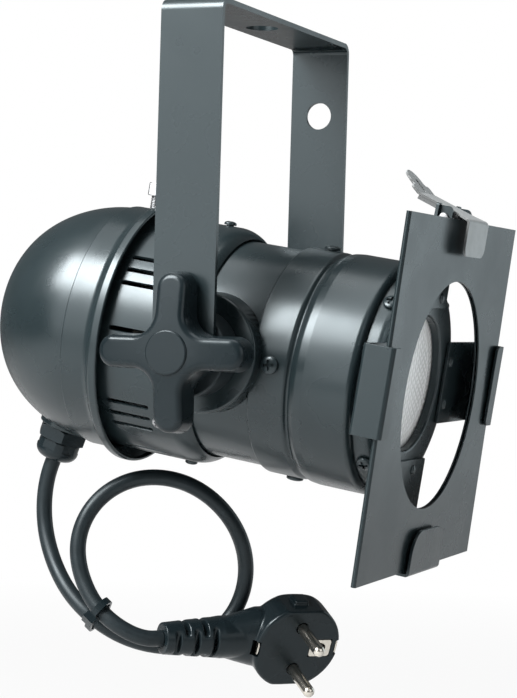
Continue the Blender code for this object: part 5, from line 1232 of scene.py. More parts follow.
def make_gland(scene):
    """The gland's hexagon with its thread, and the domed nut on it."""
    lead = scene.par_can_lead
    place = gland_matrix(scene)
    at = gland_heights(lead)
    body = work_object("gland_hexagon", prism(lead.hex_flats, at["hex_low"], at["hex_high"]))
    turned_corners(body, corner_radius(lead.hex_flats), at["hex_low"], at["hex_high"], chamfer=0.0006)
    soften(body, width=0.0003, segments=2, limit=25)
    bore, inside, outside = 0.0054, 0.009, 0.0062
    low, high = at["hex_low"] - inside, at["hex_high"] + outside
    thread = [(bore, low), (lead.thread, low), (lead.thread, high), (bore, high)]
    combine(body, work_object("thread", lathe(thread, 64)), "UNION")
    body.data.transform(place)
    dress(body, "black_plastic", "can", "gland_body")
    nut = work_object("gland_cap_nut", lathe(cap_nut_profile(lead, at), 96))
    cut_nut_flats(nut, lead, at)
    nut.data.transform(place)
    dress(nut, "black_plastic", "can", "gland_dome_nut")


def cap_nut_profile(lead, at):
    """Half of the domed nut's section: its hole for the lead, its dome and its threaded inside."""
    dome_round, edge, thread_room = 0.0042, 0.0003, 0.0065
    hole, inner, outer = lead.diameter / 2 + GAP, lead.thread + GAP, lead.nut_radius
    low, high, shelf = at["nut_low"], at["nut_high"], at["hex_high"] + thread_room
    dome = arc((outer - dome_round, high - dome_round), dome_round, 90, 0, 14)
    edges = [(outer, low + edge), (outer - edge, low), (inner, low), (inner, shelf), (hole, shelf)]
    return [(hole, high)] + dome + edges


def cut_nut_flats(nut, lead, at):
    """Six flats for the spanner, low on the nut."""
    flat_depth, beyond, flats_share, round_share = 0.00045, 0.001, 0.62, 0.45
    flats, low, height = 2 * lead.nut_radius - 2 * flat_depth, at["nut_low"], lead.nut_height
    shell = work_object("flats", prism(flats, low - beyond, low + height * flats_share))
    upper = rod(lead.nut_radius * 1.2, low + height * round_share, at["nut_high"] + beyond)
    combine(shell, work_object("upper", lathe(upper, 48)), "UNION")
    combine(nut, shell, "INTERSECT")


# The yoke


def make_yoke(scene):
    """A flat strip with round ends and its holes, bent twice into a U."""
    yoke = scene.par_can_yoke
    middle = yoke.inside + yoke.thickness / 2
    end = yoke.width / 2
    rise = yoke.drop + end - yoke.thickness / 2 - yoke.bend
    bend = math.pi / 2 * yoke.bend
    crossbar = 2 * (middle - yoke.bend)
    total = 2 * rise + 2 * bend + crossbar
    outline = arc((0, end), end, 180, 360, 44) + arc((0, total - end), end, 0, 180, 44)
    holes = [
        circle((0, end), yoke.bolt / 2 + RUNNING_GAP),
        circle((0, total - end), yoke.bolt / 2 + RUNNING_GAP),
        circle((0, total / 2), yoke.hang_hole / 2),
        circle((0, total - end - yoke.safety_height), yoke.safety_hole / 2),
    ]
    folds = [(rise, -math.pi / 2, yoke.bend), (rise + bend + crossbar, -math.pi / 2, yoke.bend)]
    sheet = sheet_metal(outline, holes, yoke.thickness, (-middle, -yoke.drop - end, math.pi / 2), folds, 12)
    strip = work_object("yoke_strip", sheet, Matrix.Rotation(-math.pi / 2, 4, "Z"))
    soften(strip, width=0.00035)
    dress(strip, "satin_black", "yoke", "yoke")


# The shells of the can


def shoulder_end(housing, reach):
    """The angle at which the drum's shoulder, at this radius, meets the neck."""
    edge = housing.neck_radius + GAP
    return math.degrees(math.acos((edge - housing.drum_radius + housing.shoulder) / reach))


def make_drum(scene):
    """The rear body with its shoulder and its cooling slots."""
    housing = scene.par_can_housing
    centre = (housing.drum_radius - housing.shoulder, housing.shoulder_start)
    end = shoulder_end(housing, housing.shoulder - housing.sheet)
    outer = [(housing.drum_radius, housing.drum_back)] + arc(centre, housing.shoulder, 0, end, 14)
    inner = [(housing.drum_radius - housing.sheet, housing.drum_back)]
    inner += arc(centre, housing.shoulder - housing.sheet, 0, end, 14)
    drum = work_object("slotted_drum", lathe(outer + inner[::-1], 180), Matrix.Rotation(math.pi / 2, 4, "X"))
    combine(drum, vent_slots(scene))
    drum.data.transform(can_matrix(scene))
    dress(drum, "satin_black", "can", "rear_body")


# The height and the extra half width of each layer of the bar that cuts a cooling slot
SLOT_LAYERS = ((-0.006, -0.0002), (-0.0012, -0.0002), (0.001, 0.0005), (0.006, 0.0005))
SLOT_END_ROUND = 0.8


def vent_slots(scene):
    """The slots' cutter: one round-ended bar with flared sides, set round the beam in groups."""
    vents = scene.par_can_vents
    reach = SLOT_LAYERS[-1][0]
    bm = bmesh.new()
    loops = [[bm.verts.new((0, 0, -reach))]]
    for height, spread in SLOT_LAYERS:
        half = vents.width / 2 + spread
        long = (vents.front - vents.back) / 2 + spread
        corner = half * SLOT_END_ROUND
        outline = oblong(-half, half, -long, long, corner, corner, 5)
        loops.append([bm.verts.new((x, y, height)) for x, y in outline])
    loops.append([bm.verts.new((0, 0, reach))])
    stitch(bm, loops)
    bmesh.ops.recalc_face_normals(bm, faces=bm.faces)
    return grow(
        "vent_cutter", round_the_beam(), piece=work_object("slot_bar", bm), groups=vents.groups,
        in_a_group=vents.slots, start=vents.start, pitch=vents.pitch, place=(vents.front + vents.back) / 2,
        radius=scene.par_can_housing.drum_radius, any_turn=0.0, seed=1, finish=finish_for("satin_black"),
    )


def turned_shell(name, profile, scene, node, steps=176, slot="satin_black"):
    shell = work_object(name, lathe(profile, steps), along_beam(scene))
    return dress(shell, slot, "can", node)


def make_neck(scene):
    housing = scene.par_can_housing
    radius = housing.neck_radius
    sleeve = ring(radius, radius - housing.sheet, housing.neck_back, housing.neck_front)
    turned_shell("neck_sleeve", sleeve, scene, "neck_tube")


def make_barrel(scene):
    """The front barrel with its rolled groove and its lip. Each corner has the round of a pressed sheet."""
    housing = scene.par_can_housing
    sheet = housing.sheet
    rear = housing.barrel_rear
    rise = housing.barrel_radius - rear
    before = housing.groove - housing.groove_half
    after = housing.groove + housing.groove_half
    lip = (housing.barrel_radius - housing.barrel_lip, housing.barrel_front - housing.barrel_lip)
    way = [
        (rear, before, 0.0016),
        (rear - housing.groove_depth, housing.groove, 0.0008),
        (rear - housing.groove_depth / 3, after, 0.0012),
        (rear + rise / 2, after + housing.swell / 3, 0.003),
        (housing.barrel_radius, after + housing.swell, 0.004),
    ]
    hole, back = housing.neck_radius + GAP, housing.barrel_back
    outer = [(hole, back)] + arc((rear - sheet, back + sheet), sheet, -90, 0, 5)
    outer += smooth_line(outer[-1], way, lip, housing.barrel_lip)
    inner = [(hole, back + sheet), (rear - sheet, back + sheet)]
    thin = [(radius - sheet, place, round_by) for radius, place, round_by in way]
    inner += smooth_line(inner[-1], thin, lip, housing.barrel_lip - sheet)
    turned_shell("front_barrel_shell", outer + inner[::-1], scene, "front_barrel")


def smooth_line(start, way, lip, lip_round):
    """The line from a start through rounded corners to the arc of the lip."""
    lip_start = (lip[0] + lip_round, lip[1])
    corners = [(*start, 0), *way, (*lip_start, 0), (0, lip[1], 0)]
    return rounded(corners, 6)[1:-2] + arc(lip, lip_round, 0, 90, 10)


def make_front_ring(scene):
    """The ring in front of the barrel, with its round edge and the lamp's opening."""
    housing = scene.par_can_housing
    sheet, front, rounding = housing.sheet, housing.ring_front, housing.ring_round
    back, lip_back = front - housing.ring_length, front - housing.opening_lip
    edge = (housing.ring_radius - rounding, front - rounding)
    turn_in = 0.001
    outer = [(housing.ring_radius, back)] + arc(edge, rounding, 0, 90, 14)
    outer += arc((housing.opening + turn_in, front - turn_in), turn_in, 90, 180, 6)
    outer.append((housing.opening, lip_back))
    inner = [(housing.ring_radius - sheet, back)] + arc(edge, rounding - sheet, 0, 90, 10)
    inner += [(housing.opening + sheet, front - sheet), (housing.opening + sheet, lip_back)]
    turned_shell("front_ring_shell", outer + inner[::-1], scene, "front_ring")


def dome_radius(share_along, radius, along_power=1.8, out_power=2.6):
    """The dome's radius at a share of its depth: a rounded curve, blunter than half a ball."""
    return radius * (1 - min(share_along, 1.0) ** along_power) ** (1 / out_power)


def dome_start(housing):
    """The dome's radius at its crease."""
    return housing.cover_band - housing.crease_step


def dome_line(radius, crease, depth, steps, crowding=0.9):
    """The cover's dome from its crease to its tip."""
    line = []
    for turn in quarter_steps(steps):
        part = math.sin(turn) ** crowding
        line.append((dome_radius(part, radius), crease - depth * part))
    line[-1] = (0, crease - depth)
    return line


def make_cover(scene):
    """The rear cover: its dome, the crease, the band, the rolled rim and the gland's pad."""
    housing = scene.par_can_housing
    sheet, crease = housing.sheet, housing.crease
    rim_back = housing.cover_front - housing.rim_length
    band_start = rim_back - housing.flare
    band, rim = housing.cover_band, housing.cover_rim
    crease_share = 0.45
    step = crease + housing.crease_step * crease_share
    outer = dome_line(dome_start(housing), crease, housing.dome_depth, 40)[::-1] + rounded([
        (0, step, 0), (band, step, 0.0004), (band, band_start, 0.004), (rim, rim_back, 0.0016),
        (rim, housing.cover_front, 0.0007), (0, housing.cover_front, 0),
    ], 6)[1:-1]
    inner = dome_line(dome_start(housing) - sheet, crease, housing.dome_depth - sheet, 24)[::-1]
    inner += [(band - sheet, band_start), (rim - sheet, rim_back + sheet), (rim - sheet, housing.cover_front)]
    cover = work_object("rear_dome", lathe(outer + inner[::-1], 176), along_beam(scene))
    pad_radius, pad_root, pad_edge, top = 0.0108, -0.005, 0.0005, GLAND_PAD_HEIGHT
    pad = rounded([(0, top, 0), (pad_radius, top, pad_edge), (pad_radius, pad_root, 0), (0, pad_root, 0)], 4)
    combine(cover, work_object("gland_pad", lathe(pad, 64), gland_matrix(scene)), "UNION")
    dress(cover, "satin_black", "can", "rear_cover")


def flat_inside(radius, half_width):
    """How far out a flat of this half width can sit inside a round wall."""
    return math.sqrt(radius**2 - half_width**2) - GAP


def make_cover_lock(scene):
    """The lock screw on the cover: a hexagon head on its threaded shank."""
    housing = scene.par_can_housing
    flats, height, seat_height = 0.007, 0.0052, 0.0016
    shank, pitch, place, length_inside = 0.002, 0.0007, -0.053, 0.006
    seat = housing.cover_rim + seat_height
    radius = corner_radius(flats)
    head = work_object("lock_screw_head", prism(flats, seat, seat + height))
    turned_corners(head, radius, seat, seat + height, chamfer=0.0004)
    soften(head, width=0.00015, segments=2, limit=25)
    low = flat_inside(housing.drum_radius - housing.sheet, radius) - length_inside
    thread = threaded_rod(shank, low, seat + height / 2, pitch)
    combine(head, work_object("lock_shank", lathe(thread, 40)), "UNION")
    head.data.transform(radial(scene, math.pi / 2, place))
    dress(head, "zinc_steel", "can", "cover_lock_screw")


def threaded_rod(radius, low, high, pitch, depth_share=0.35, crest=(0.4, 0.6)):
    """A rod with rolled grooves at the thread's pitch."""
    root = radius - pitch * depth_share
    turns = int((high - low) / pitch)
    points = [(0, high), (root, high)]
    for turn in range(turns):
        top = high - turn * pitch
        points += [(radius, top - pitch * share_down) for share_down in crest] + [(root, top - pitch)]
    return points + [(0, high - turns * pitch)]


# The pivots and their knobs


def can_envelope(housing):
    """The outside of the shells with a gap, as the solid that the bosses are cut by."""
    far = 2 * housing.drum_radius
    centre = (housing.drum_radius - housing.shoulder, housing.shoulder_start)
    reach = housing.shoulder + GAP
    step = arc(centre, reach, 0, shoulder_end(housing, reach), 14)
    return [
        (0, far),
        (housing.barrel_rear + GAP, far),
        (housing.barrel_rear + GAP, housing.barrel_back - GAP),
        (housing.neck_radius + GAP, housing.barrel_back - GAP),
        *step[::-1],
        (housing.drum_radius + GAP, -far),
        (0, -far),
    ]


def make_pivots(scene):
    """On each side a boss, cut to fit the shells behind it, and the spacer between boss and arm."""
    yoke = scene.par_can_yoke
    housing = scene.par_can_housing
    hole = yoke.bolt / 2 + GAP
    unturn = can_matrix(scene).inverted()
    edge = 0.001
    face, radius = yoke.boss_face, yoke.boss_radius
    for side, label in SIDES:
        place = sideways(scene, side)
        profile = [(hole, face)] + arc((radius - edge, face - edge), edge, 90, 0, 6)
        profile += [(radius, radius), (hole, radius)]
        boss = work_object(f"boss_disc_{label}", lathe(profile, 128), unturn @ place)
        envelope = lathe(can_envelope(housing), 144)
        combine(boss, work_object("envelope", envelope, Matrix.Rotation(math.pi / 2, 4, "X")))
        boss.data.transform(can_matrix(scene))
        dress(boss, "satin_black", "can", f"pivot_boss_{label}")
        band = ring(yoke.spacer_radius, hole, face + GAP, yoke.inside - GAP, edge=0.0007, steps=5)
        spacer = work_object(f"spacer_{label}", lathe(band, 96), place)
        dress(spacer, "black_rubber", "can", f"pivot_spacer_{label}")


KNOB_DRAFT = 0.0006
KNOB_BACK_EDGE = 0.0008
KNOB_WALL_STEPS = 5
KNOB_TOP_RINGS = (0.92, 0.84, 0.76, 0.68, 0.6, 0.52, 0.44, 0.36, 0.28, 0.2, 0.1)


def knob_outline(knob):
    """A cross with four round-ended lobes and filleted corners between them."""
    half, reach = knob.lobe / 2, knob.reach
    corners = []
    for turn in range(4):
        spin = Matrix.Rotation(math.pi / 2 * turn, 2)
        inner, tips = (half, half, knob.fillet), [(x, reach, half - GAP) for x in (half, -half)]
        for x, y, round_by in (inner, *tips):
            corners.append((*(spin @ Vector((x, y))), round_by))
    return rounded(corners, 14)


def knob_layers(knob, low, high):
    """The knob from its back to its top: how far each layer is drawn in, its height and its scale."""
    edge = KNOB_BACK_EDGE
    turns = quarter_steps(4)
    layers = [(edge * (1 - math.sin(turn)), low + edge * (1 - math.cos(turn)), 1.0) for turn in turns]
    for step in range(1, KNOB_WALL_STEPS):
        share_up = step / KNOB_WALL_STEPS
        layers.append((KNOB_DRAFT * share_up, low + edge + (high - knob.edge - low - edge) * share_up, 1.0))
    for turn in quarter_steps(9):
        inset = KNOB_DRAFT + knob.edge * (1 - math.cos(turn))
        layers.append((inset, high - knob.edge * (1 - math.sin(turn)), 1.0))
    return layers + [(KNOB_DRAFT + knob.edge, high, scale) for scale in KNOB_TOP_RINGS]


def knob_body(knob):
    """The moulded cross: drafted walls, soft edges, and lobes that fall away from the middle."""
    outline = knob_outline(knob)
    count = len(outline)
    ways = [Vector(outline[(i + 1) % count]) - Vector(outline[i - 1]) for i in range(count)]
    outward = [Vector((way.y, -way.x)).normalized() for way in ways]
    low, high = knob.collar, knob.collar + knob.depth
    bm = bmesh.new()
    loops = [[bm.verts.new((0, 0, low))]]
    for inset, height, scale in knob_layers(knob, low, high):
        loop = []
        for point, normal in zip(outline, outward):
            place = (Vector(point) - normal * inset) * scale
            sunk = fall(knob, place.length, height, low, high)
            loop.append(bm.verts.new((place.x, place.y, height - sunk)))
        loops.append(loop)
    loops.append([bm.verts.new((0, 0, high))])
    stitch(bm, loops)
    bmesh.ops.recalc_face_normals(bm, faces=bm.faces)
    return bm


def quarter_steps(count):
    """The angles that divide a quarter turn evenly, with both its ends."""
    return [math.pi / 2 * step / count for step in range(count + 1)]


def fall(knob, distance, height, low, high, power=1.2):
    """How far the lobes' top sinks at a distance from the middle."""
    out = max(0.0, (distance - knob.pad_radius) / (knob.reach - knob.pad_radius))
    return knob.crown * out**power * (height - low) / (high - low)


def stitch(bm, loops):
    """Faces between loops of points, the first and last of which are single points."""
    for lower, upper in zip(loops, loops[1:]):
        count = max(len(lower), len(upper))
        for i in range(count):
            j = (i + 1) % count
            corners = [loop[k % len(loop)] for loop, k in ((lower, i), (lower, j), (upper, j), (upper, i))]
            bm.faces.new(list(dict.fromkeys(corners)))


def make_knobs(scene):
    """A cross knob on each side, with its collar, its pad and the recess for the washer."""
    yoke = scene.par_can_yoke
    knob = scene.par_can_knob
    tilt = scene.par_can_housing.tilt
    top = knob.collar + knob.depth
    collar_radius, washer_radius, washer_depth, bore_depth = 0.0112, 0.0078, 0.0011, 0.010
    pad_root, pad_flare = 0.003, 0.0004
    pad = [(0, top + knob.pad_height)]
    pad += arc((knob.pad_radius - knob.pad_height, top), knob.pad_height, 90, 0, 6)
    pad += [(knob.pad_radius + pad_flare, top - pad_root), (0, top - pad_root)]
    for side, label in SIDES:
        cross = work_object(f"cross_knob_{label}", knob_body(knob), Matrix.Rotation(-side * tilt, 4, "Z"))
        collar = lathe(rod(collar_radius, 0, top / 2, edge=0.0003), 72)
        combine(cross, work_object("collar", collar), "UNION")
        combine(cross, work_object("pad", lathe(pad, 72)), "UNION")
        combine(cross, cylinder_cutter("recess", washer_radius + RUNNING_GAP, -knob.depth, washer_depth))
        combine(cross, cylinder_cutter("bore", yoke.bolt / 2 + RUNNING_GAP, -knob.depth, bore_depth))
        outwards = Matrix.Rotation(side * math.pi / 2, 4, "Y")
        cross.data.transform(can_matrix(scene) @ Matrix.Translation((side * knob.back, 0, 0)) @ outwards)
        dress(cross, "black_plastic", f"knob_{label}", f"tilt_knob_{label}", limit=50)


# The screws


def pan_head(head, shank, length):
    """A pan-head screw with a cross recess, seated at zero."""
    height, rim, dome, recess_floor = 0.0016, 0.42, 0.58, 0.35
    turns = quarter_steps(9)[1:]
    crown = [(head * math.sin(turn), GAP + height * (rim + dome * math.cos(turn))) for turn in turns]
    profile = [(0, GAP + height)] + crown + [(head, GAP), (shank, GAP), (shank, -length), (0, -length)]
    screw = work_object("screw", lathe(profile, 32))
    reach_share, width_share = 0.62, 0.17
    wide, deep = head * reach_share, head * width_share
    for across, along in ((wide, deep), (deep, wide)):
        notch = box((-across, -along, GAP + height * recess_floor), (across, along, 2 * height))
        combine(screw, work_object("recess", notch))
    return screw


# Head radius, shank radius and length of the screws
BARREL_SCREW = (0.0034, 0.002, 0.0062)
RING_SCREW = (0.0031, 0.0015, 0.0042)
BODY_SCREW = (0.0025, 0.0015, 0.0062)
BARREL_SCREW_PLACE, RING_SCREW_PLACE, BODY_SCREW_PLACE = 0.0268, 0.0648, -0.0185
EARTH_SCREW_TURN = math.radians(220)


def make_screws(scene):
    """Four sets of screws round the beam, each with its heads turned at random."""
    housing = scene.par_can_housing
    barrel = [f"barrel_screw_{index}" for index in (1, 2, 3, 4)]
    front = [f"ring_screw_{index}" for index in (1, 2, 3, 4)]
    body = ["body_screw_top", "body_screw_bottom"]
    on_barrel, on_ring = (BARREL_SCREW_PLACE, housing.barrel_rear), (RING_SCREW_PLACE, housing.ring_radius)
    on_drum, quarter = (BODY_SCREW_PLACE, housing.drum_radius), math.pi / 2
    for name, sizes, start, (place, radius), slot, nodes in (
        ("barrel_screw_set", BARREL_SCREW, 0.0, on_barrel, "satin_black", barrel),
        ("ring_screw_set", RING_SCREW, quarter / 2, on_ring, "satin_black", front),
        ("body_screw_set", BODY_SCREW, quarter, on_drum, "satin_black", body),
        ("earth_screw_head", BODY_SCREW, EARTH_SCREW_TURN, on_drum, "zinc_steel", ["earth_screw"]),
    ):
        screws = grow(
            name, round_the_beam(), piece=pan_head(*sizes), groups=len(nodes), in_a_group=1,
            start=start, pitch=0.0, place=place, radius=radius, any_turn=math.pi, seed=7,
            finish=finish_for(slot),
        )
        screws.data.transform(can_matrix(scene))
        dress(screws, slot, "can", *nodes, weighted=False)


# The gel frame and its brackets


def make_gel_frame(scene):
    """Two leaves folded from one sheet, with the gel's slot between them."""
    holder = scene.par_can_holder
    bend = (holder.thickness - holder.leaf) / 2
    leaf = holder.side - bend - holder.leaf / 2
    total = 2 * leaf + math.pi * bend
    half = holder.side / 2
    outline = [(-half, 0), (half, 0), (half, total), (-half, total)]
    holes = [circle((0, half), holder.hole, 128), circle((0, total - half), holder.hole, 128)]
    sheet = sheet_metal(outline, holes, holder.leaf, (half, -bend, math.pi), [(leaf, -math.pi, bend)], 10)
    up = Vector((0, math.sin(holder.lean), math.cos(holder.lean)))
    across = Vector((1, 0, 0))
    middle = on_can(0, holder.front - holder.thickness / 2, -holder.drop)
    leaves = work_object("gel_frame_leaves", sheet)
    soften(leaves, width=0.00012, segments=2)
    upright = oriented(up, across, up.cross(across))
    leaves.data.transform(can_matrix(scene) @ Matrix.Translation(middle) @ upright)
    dress(leaves, "satin_black", "can", "gel_frame")


def bracket_face(scene):
    """Where the middle of the brackets' feet is along the beam."""
    holder = scene.par_can_holder
    return scene.par_can_housing.ring_front + GAP + holder.sheet / 2


def make_channel(scene, name, node, across, outward, width, wall, depth, lip, corner, shift=0.0):
    """A folded channel: a foot on the ring, a wall beside the gel frame and a lip in front of it."""
    holder = scene.par_can_holder
    half = holder.sheet / 2
    bend = math.pi / 2 * holder.bend
    foot = wall + half - holder.foot - holder.bend
    rise = depth - 2 * holder.bend
    total = foot + 2 * bend + rise + lip - half - holder.bend
    edge = width / 2
    outline = oblong(-edge, edge, 0, total, holder.bend, corner, 10)
    folds = [(foot, math.pi / 2, holder.bend), (foot + bend + rise, math.pi / 2, holder.bend)]
    channel = work_object(name, sheet_metal(outline, [], holder.sheet, (holder.foot, 0, 0), folds))
    soften(channel, width=0.0002)
    forward = Vector((0, -1, 0))
    where = on_can(shift, bracket_face(scene), 0)
    channel.data.transform(can_matrix(scene) @ Matrix.Translation(where) @ oriented(across, outward, forward))
    dress(channel, "satin_black", "can", node)


def make_channels(scene):
    """The two side channels, the bottom channel with its tongue, and the rivets in all feet."""
    holder = scene.par_can_holder
    wall = holder.side / 2 + holder.play
    up, right = Vector((0, 0, 1)), Vector((1, 0, 0))
    lip_corner = 0.003
    sides = (holder.channel_height, wall, holder.slot, holder.lip, lip_corner)
    make_channel(scene, "channel_left_side", "left_channel", up, -right, *sides)
    make_channel(scene, "channel_right_side", "right_channel", -up, right, *sides)
    tongue = (holder.bottom_slot, holder.tongue_length, holder.tongue_round, holder.tongue_shift)
    below = (holder.tongue_width, wall + holder.drop, *tongue)
    make_channel(scene, "tongue_channel", "bottom_channel", -right, -up, *below)
    half, head, height = holder.sheet / 2, holder.rivet, holder.rivet_height
    dome = [(head * math.sin(turn), half + height * math.cos(turn)) for turn in quarter_steps(8)[1:]]
    rivet = lathe([(0, half + height)] + dome + [(head, 0), (0, 0)], 28)
    rivets = grow(
        "bracket_rivets", rivets_on_feet(), piece=work_object("rivet", rivet), feet=4,
        spacing=holder.rivet_spacing, reach=holder.rivet_reach, finish=finish_for("satin_black"),
    )
    rivets.data.transform(along_beam(scene) @ Matrix.Translation((0, 0, bracket_face(scene))))
    dress(rivets, "satin_black", "can", weighted=False)


def make_top_bracket(scene):
    """A plate on the ring with a notch between two posts, and an ear beside each post for the clip's pin."""
    holder = scene.par_can_holder
    clip = scene.par_can_clip
    face = bracket_face(scene)
    over_frame, half, spread, post, ear_length = 0.0027, 0.0155, 0.0116, 0.003, 0.0052
    height = holder.side / 2 + over_frame
    shoulder, floor, low, high = (height - down for down in (0.0152, 0.0087, 0.0097, 0.0007))
    notch = spread - holder.sheet / 2
    right = [
        (half, holder.foot, holder.bend), (half, shoulder, 0.002), (notch + post, height, holder.bend),
        (notch, height, 0), (notch, floor, holder.bend),
    ]
    left = [(-across, up, bend) for across, up, bend in right]
    outline = rounded([left[0]] + right + left[:0:-1], 6)
    plate = work_object("clip_bracket", sheet_metal(outline, [], holder.sheet))
    upright = oriented(Vector((1, 0, 0)), Vector((0, 0, 1)), Vector((0, -1, 0)))
    plate.data.transform(Matrix.Translation(on_can(0, face, 0)) @ upright)
    front = face + holder.sheet / 2 + ear_length
    ear_corners = [(face, low, 0), (front, low, clip.pin), (front, high, clip.pin), (face, high, 0)]
    hole = circle((clip.pin_place, clip.pin_height), clip.pin / 2 + GAP, 28)
    for side in (-1, 1):
        ear = sheet_metal(rounded(ear_corners), [hole], holder.sheet)
        where = Matrix.Translation((side * spread, 0, 0)) @ side_plate()
        combine(plate, work_object("ear", ear, where), "UNION")
    soften(plate, width=0.0002, segments=2)
    plate.data.transform(can_matrix(scene))
    dress(plate, "satin_black", "can", "top_bracket")


def side_plate():
    """Turns a sheet so that its X runs forward along the beam and its Y runs up."""
    return oriented(Vector((0, -1, 0)), Vector((0, 0, 1)), Vector((-1, 0, 0)))


# The sprung clip

LUG_RADIUS = 0.0027


def make_top_clip(scene):
    """A folded strip: a tab in front of the gel frame, a sloping top and a raised finger with its slot."""
    clip = scene.par_can_clip
    front_turn = math.pi / 2 - clip.slope
    setback = clip.bend * math.tan(front_turn / 2)
    finger_setback = clip.bend * math.tan(clip.finger_angle / 2)
    heading = Vector((math.cos(clip.slope), math.sin(clip.slope)))
    above_pin = Vector((-heading.y, heading.x)) * clip.lift
    corner = above_pin - heading * clip.reach
    first = clip.tab - setback
    second = first + front_turn * clip.bend + clip.reach + clip.rear - setback - finger_setback
    end = second + clip.finger_angle * clip.bend + clip.finger_length - finger_setback
    shoulder, wing = first + front_turn * clip.bend, second + clip.wing
    half, tab, finger = clip.width / 2, clip.tab_width / 2, clip.finger_width / 2
    right = [
        (tab, 0, clip.tab_round), (tab, shoulder, clip.bend), (half, shoulder + clip.shoulder, clip.bend),
        (half, wing, clip.bend), (finger, wing, clip.bend), (finger, end, finger - GAP),
    ]
    outline = rounded(right + [(-across, along, bend) for across, along, bend in reversed(right)], 10)
    slot_end = end - finger
    slot_start = slot_end - clip.slot_length + clip.slot_width
    wide = clip.slot_width / 2
    slot = arc((0, slot_end), wide, 0, 180, 14) + arc((0, slot_start), wide, 180, 360, 14)
    folds = [(first, -front_turn, clip.bend), (second, clip.finger_angle, clip.bend)]
    start = (corner.x, corner.y - clip.tab, math.pi / 2)
    strip = work_object("spring_clip", sheet_metal(outline, [slot], clip.sheet, start, folds, 10))
    slope = math.degrees(clip.slope)
    along = Vector((math.cos(clip.slope), -math.sin(clip.slope)))
    top = Vector((-above_pin.x, above_pin.y))
    edge = top.normalized() * (clip.sheet / 2 + clip.flange)
    back = top - along * (clip.rear - finger_setback - GAP)
    corners = [top + along * LUG_RADIUS, back, back - edge, top - edge - along * LUG_RADIUS]
    lug = arc((0, 0), LUG_RADIUS, 180 - slope, 360 - slope, 20) + [tuple(corner) for corner in corners]
    for side in (-1, 1):
        sheet = sheet_metal(lug, [circle((0, 0), clip.pin / 2 + RUNNING_GAP, 28)], clip.sheet)
        where = Matrix.Translation((side * (half - clip.sheet / 2 - GAP), 0, 0)) @ side_plate()
        combine(strip, work_object("lug", sheet, where), "UNION")
    soften(strip, width=0.00018, segments=2)
    pin = on_can(0, clip.pin_place, clip.pin_height)
    strip.data.transform(can_matrix(scene) @ Matrix.Translation(pin))
    dress(strip, "black_zinc", "clip", "top_clip")
    make_clip_pin(scene, pin)
    make_clip_spring(scene, pin)


def make_clip_pin(scene, pin):
    """The pin with a flat head at each end."""
    clip = scene.par_can_clip
    half_length, head_over_pin, rim, rim_edge = 0.0122, 0.0008, 0.001, 0.0004
    reach, head = half_length + GAP, clip.pin / 2 + head_over_pin
    half = [(0, reach + rim, 0), (head, reach + rim, rim_edge), (head, reach, 0), (clip.pin / 2, reach, 0)]
    profile = rounded(half + [(radius, -height, edge) for radius, height, edge in reversed(half)], 4)
    place = can_matrix(scene) @ Matrix.Translation(pin) @ Matrix.Rotation(math.pi / 2, 4, "Y")
    dress(work_object("clip_axle", lathe(profile, 28), place), "zinc_steel", "can", "clip_pin")


def make_clip_spring(scene, pin):
    """A torsion spring round the pin, with a leg under the clip's rear and one against the bracket."""
    clip = scene.par_can_clip
    radius = clip.pin / 2 + GAP + RUNNING_GAP + clip.wire / 2
    pitch, leg, rest_turn, steps_in_turn = 0.0014, 0.0075, math.radians(118), 28
    half = clip.turns * pitch / 2
    start = clip.slope + math.pi / 2
    sweep = math.tau * clip.turns + rest_turn
    steps = round(sweep / math.tau * steps_in_turn)
    points = []
    for step in range(steps + 1):
        turn = start - sweep * step / steps
        across = -half + 2 * half * step / steps
        points.append(pin + Vector((across, radius * math.cos(turn), radius * math.sin(turn))))
    rise = Vector((0, math.cos(clip.slope), math.sin(clip.slope)))
    leave = start - sweep
    drop = Vector((0, math.sin(leave), -math.cos(leave)))
    points = [points[0] + rise * leg] + points + [points[-1] + drop * leg]
    wire = bar_curve("torsion_spring_curve", points, clip.wire / 2)
    bpy.context.view_layer.update()
    spring = add_object("torsion_spring", wire_mesh(wire))
    spring.data.transform(can_matrix(scene))
    dress(spring, "zinc_steel", "can", "clip_spring", weighted=False)


def wire_mesh(holder):
    """The mesh of a curve object, welded, with its normals outwards."""
    mesh = bpy.data.meshes.new_from_object(holder.evaluated_get(bpy.context.evaluated_depsgraph_get()))
    bpy.data.objects.remove(holder)
    bm = bmesh.new()
    bm.from_mesh(mesh)
    bmesh.ops.remove_doubles(bm, verts=bm.verts, dist=WIRE_WELD)
    bmesh.ops.recalc_face_normals(bm, faces=bm.faces)
    return to_mesh(bm, "wire")


# The lamp


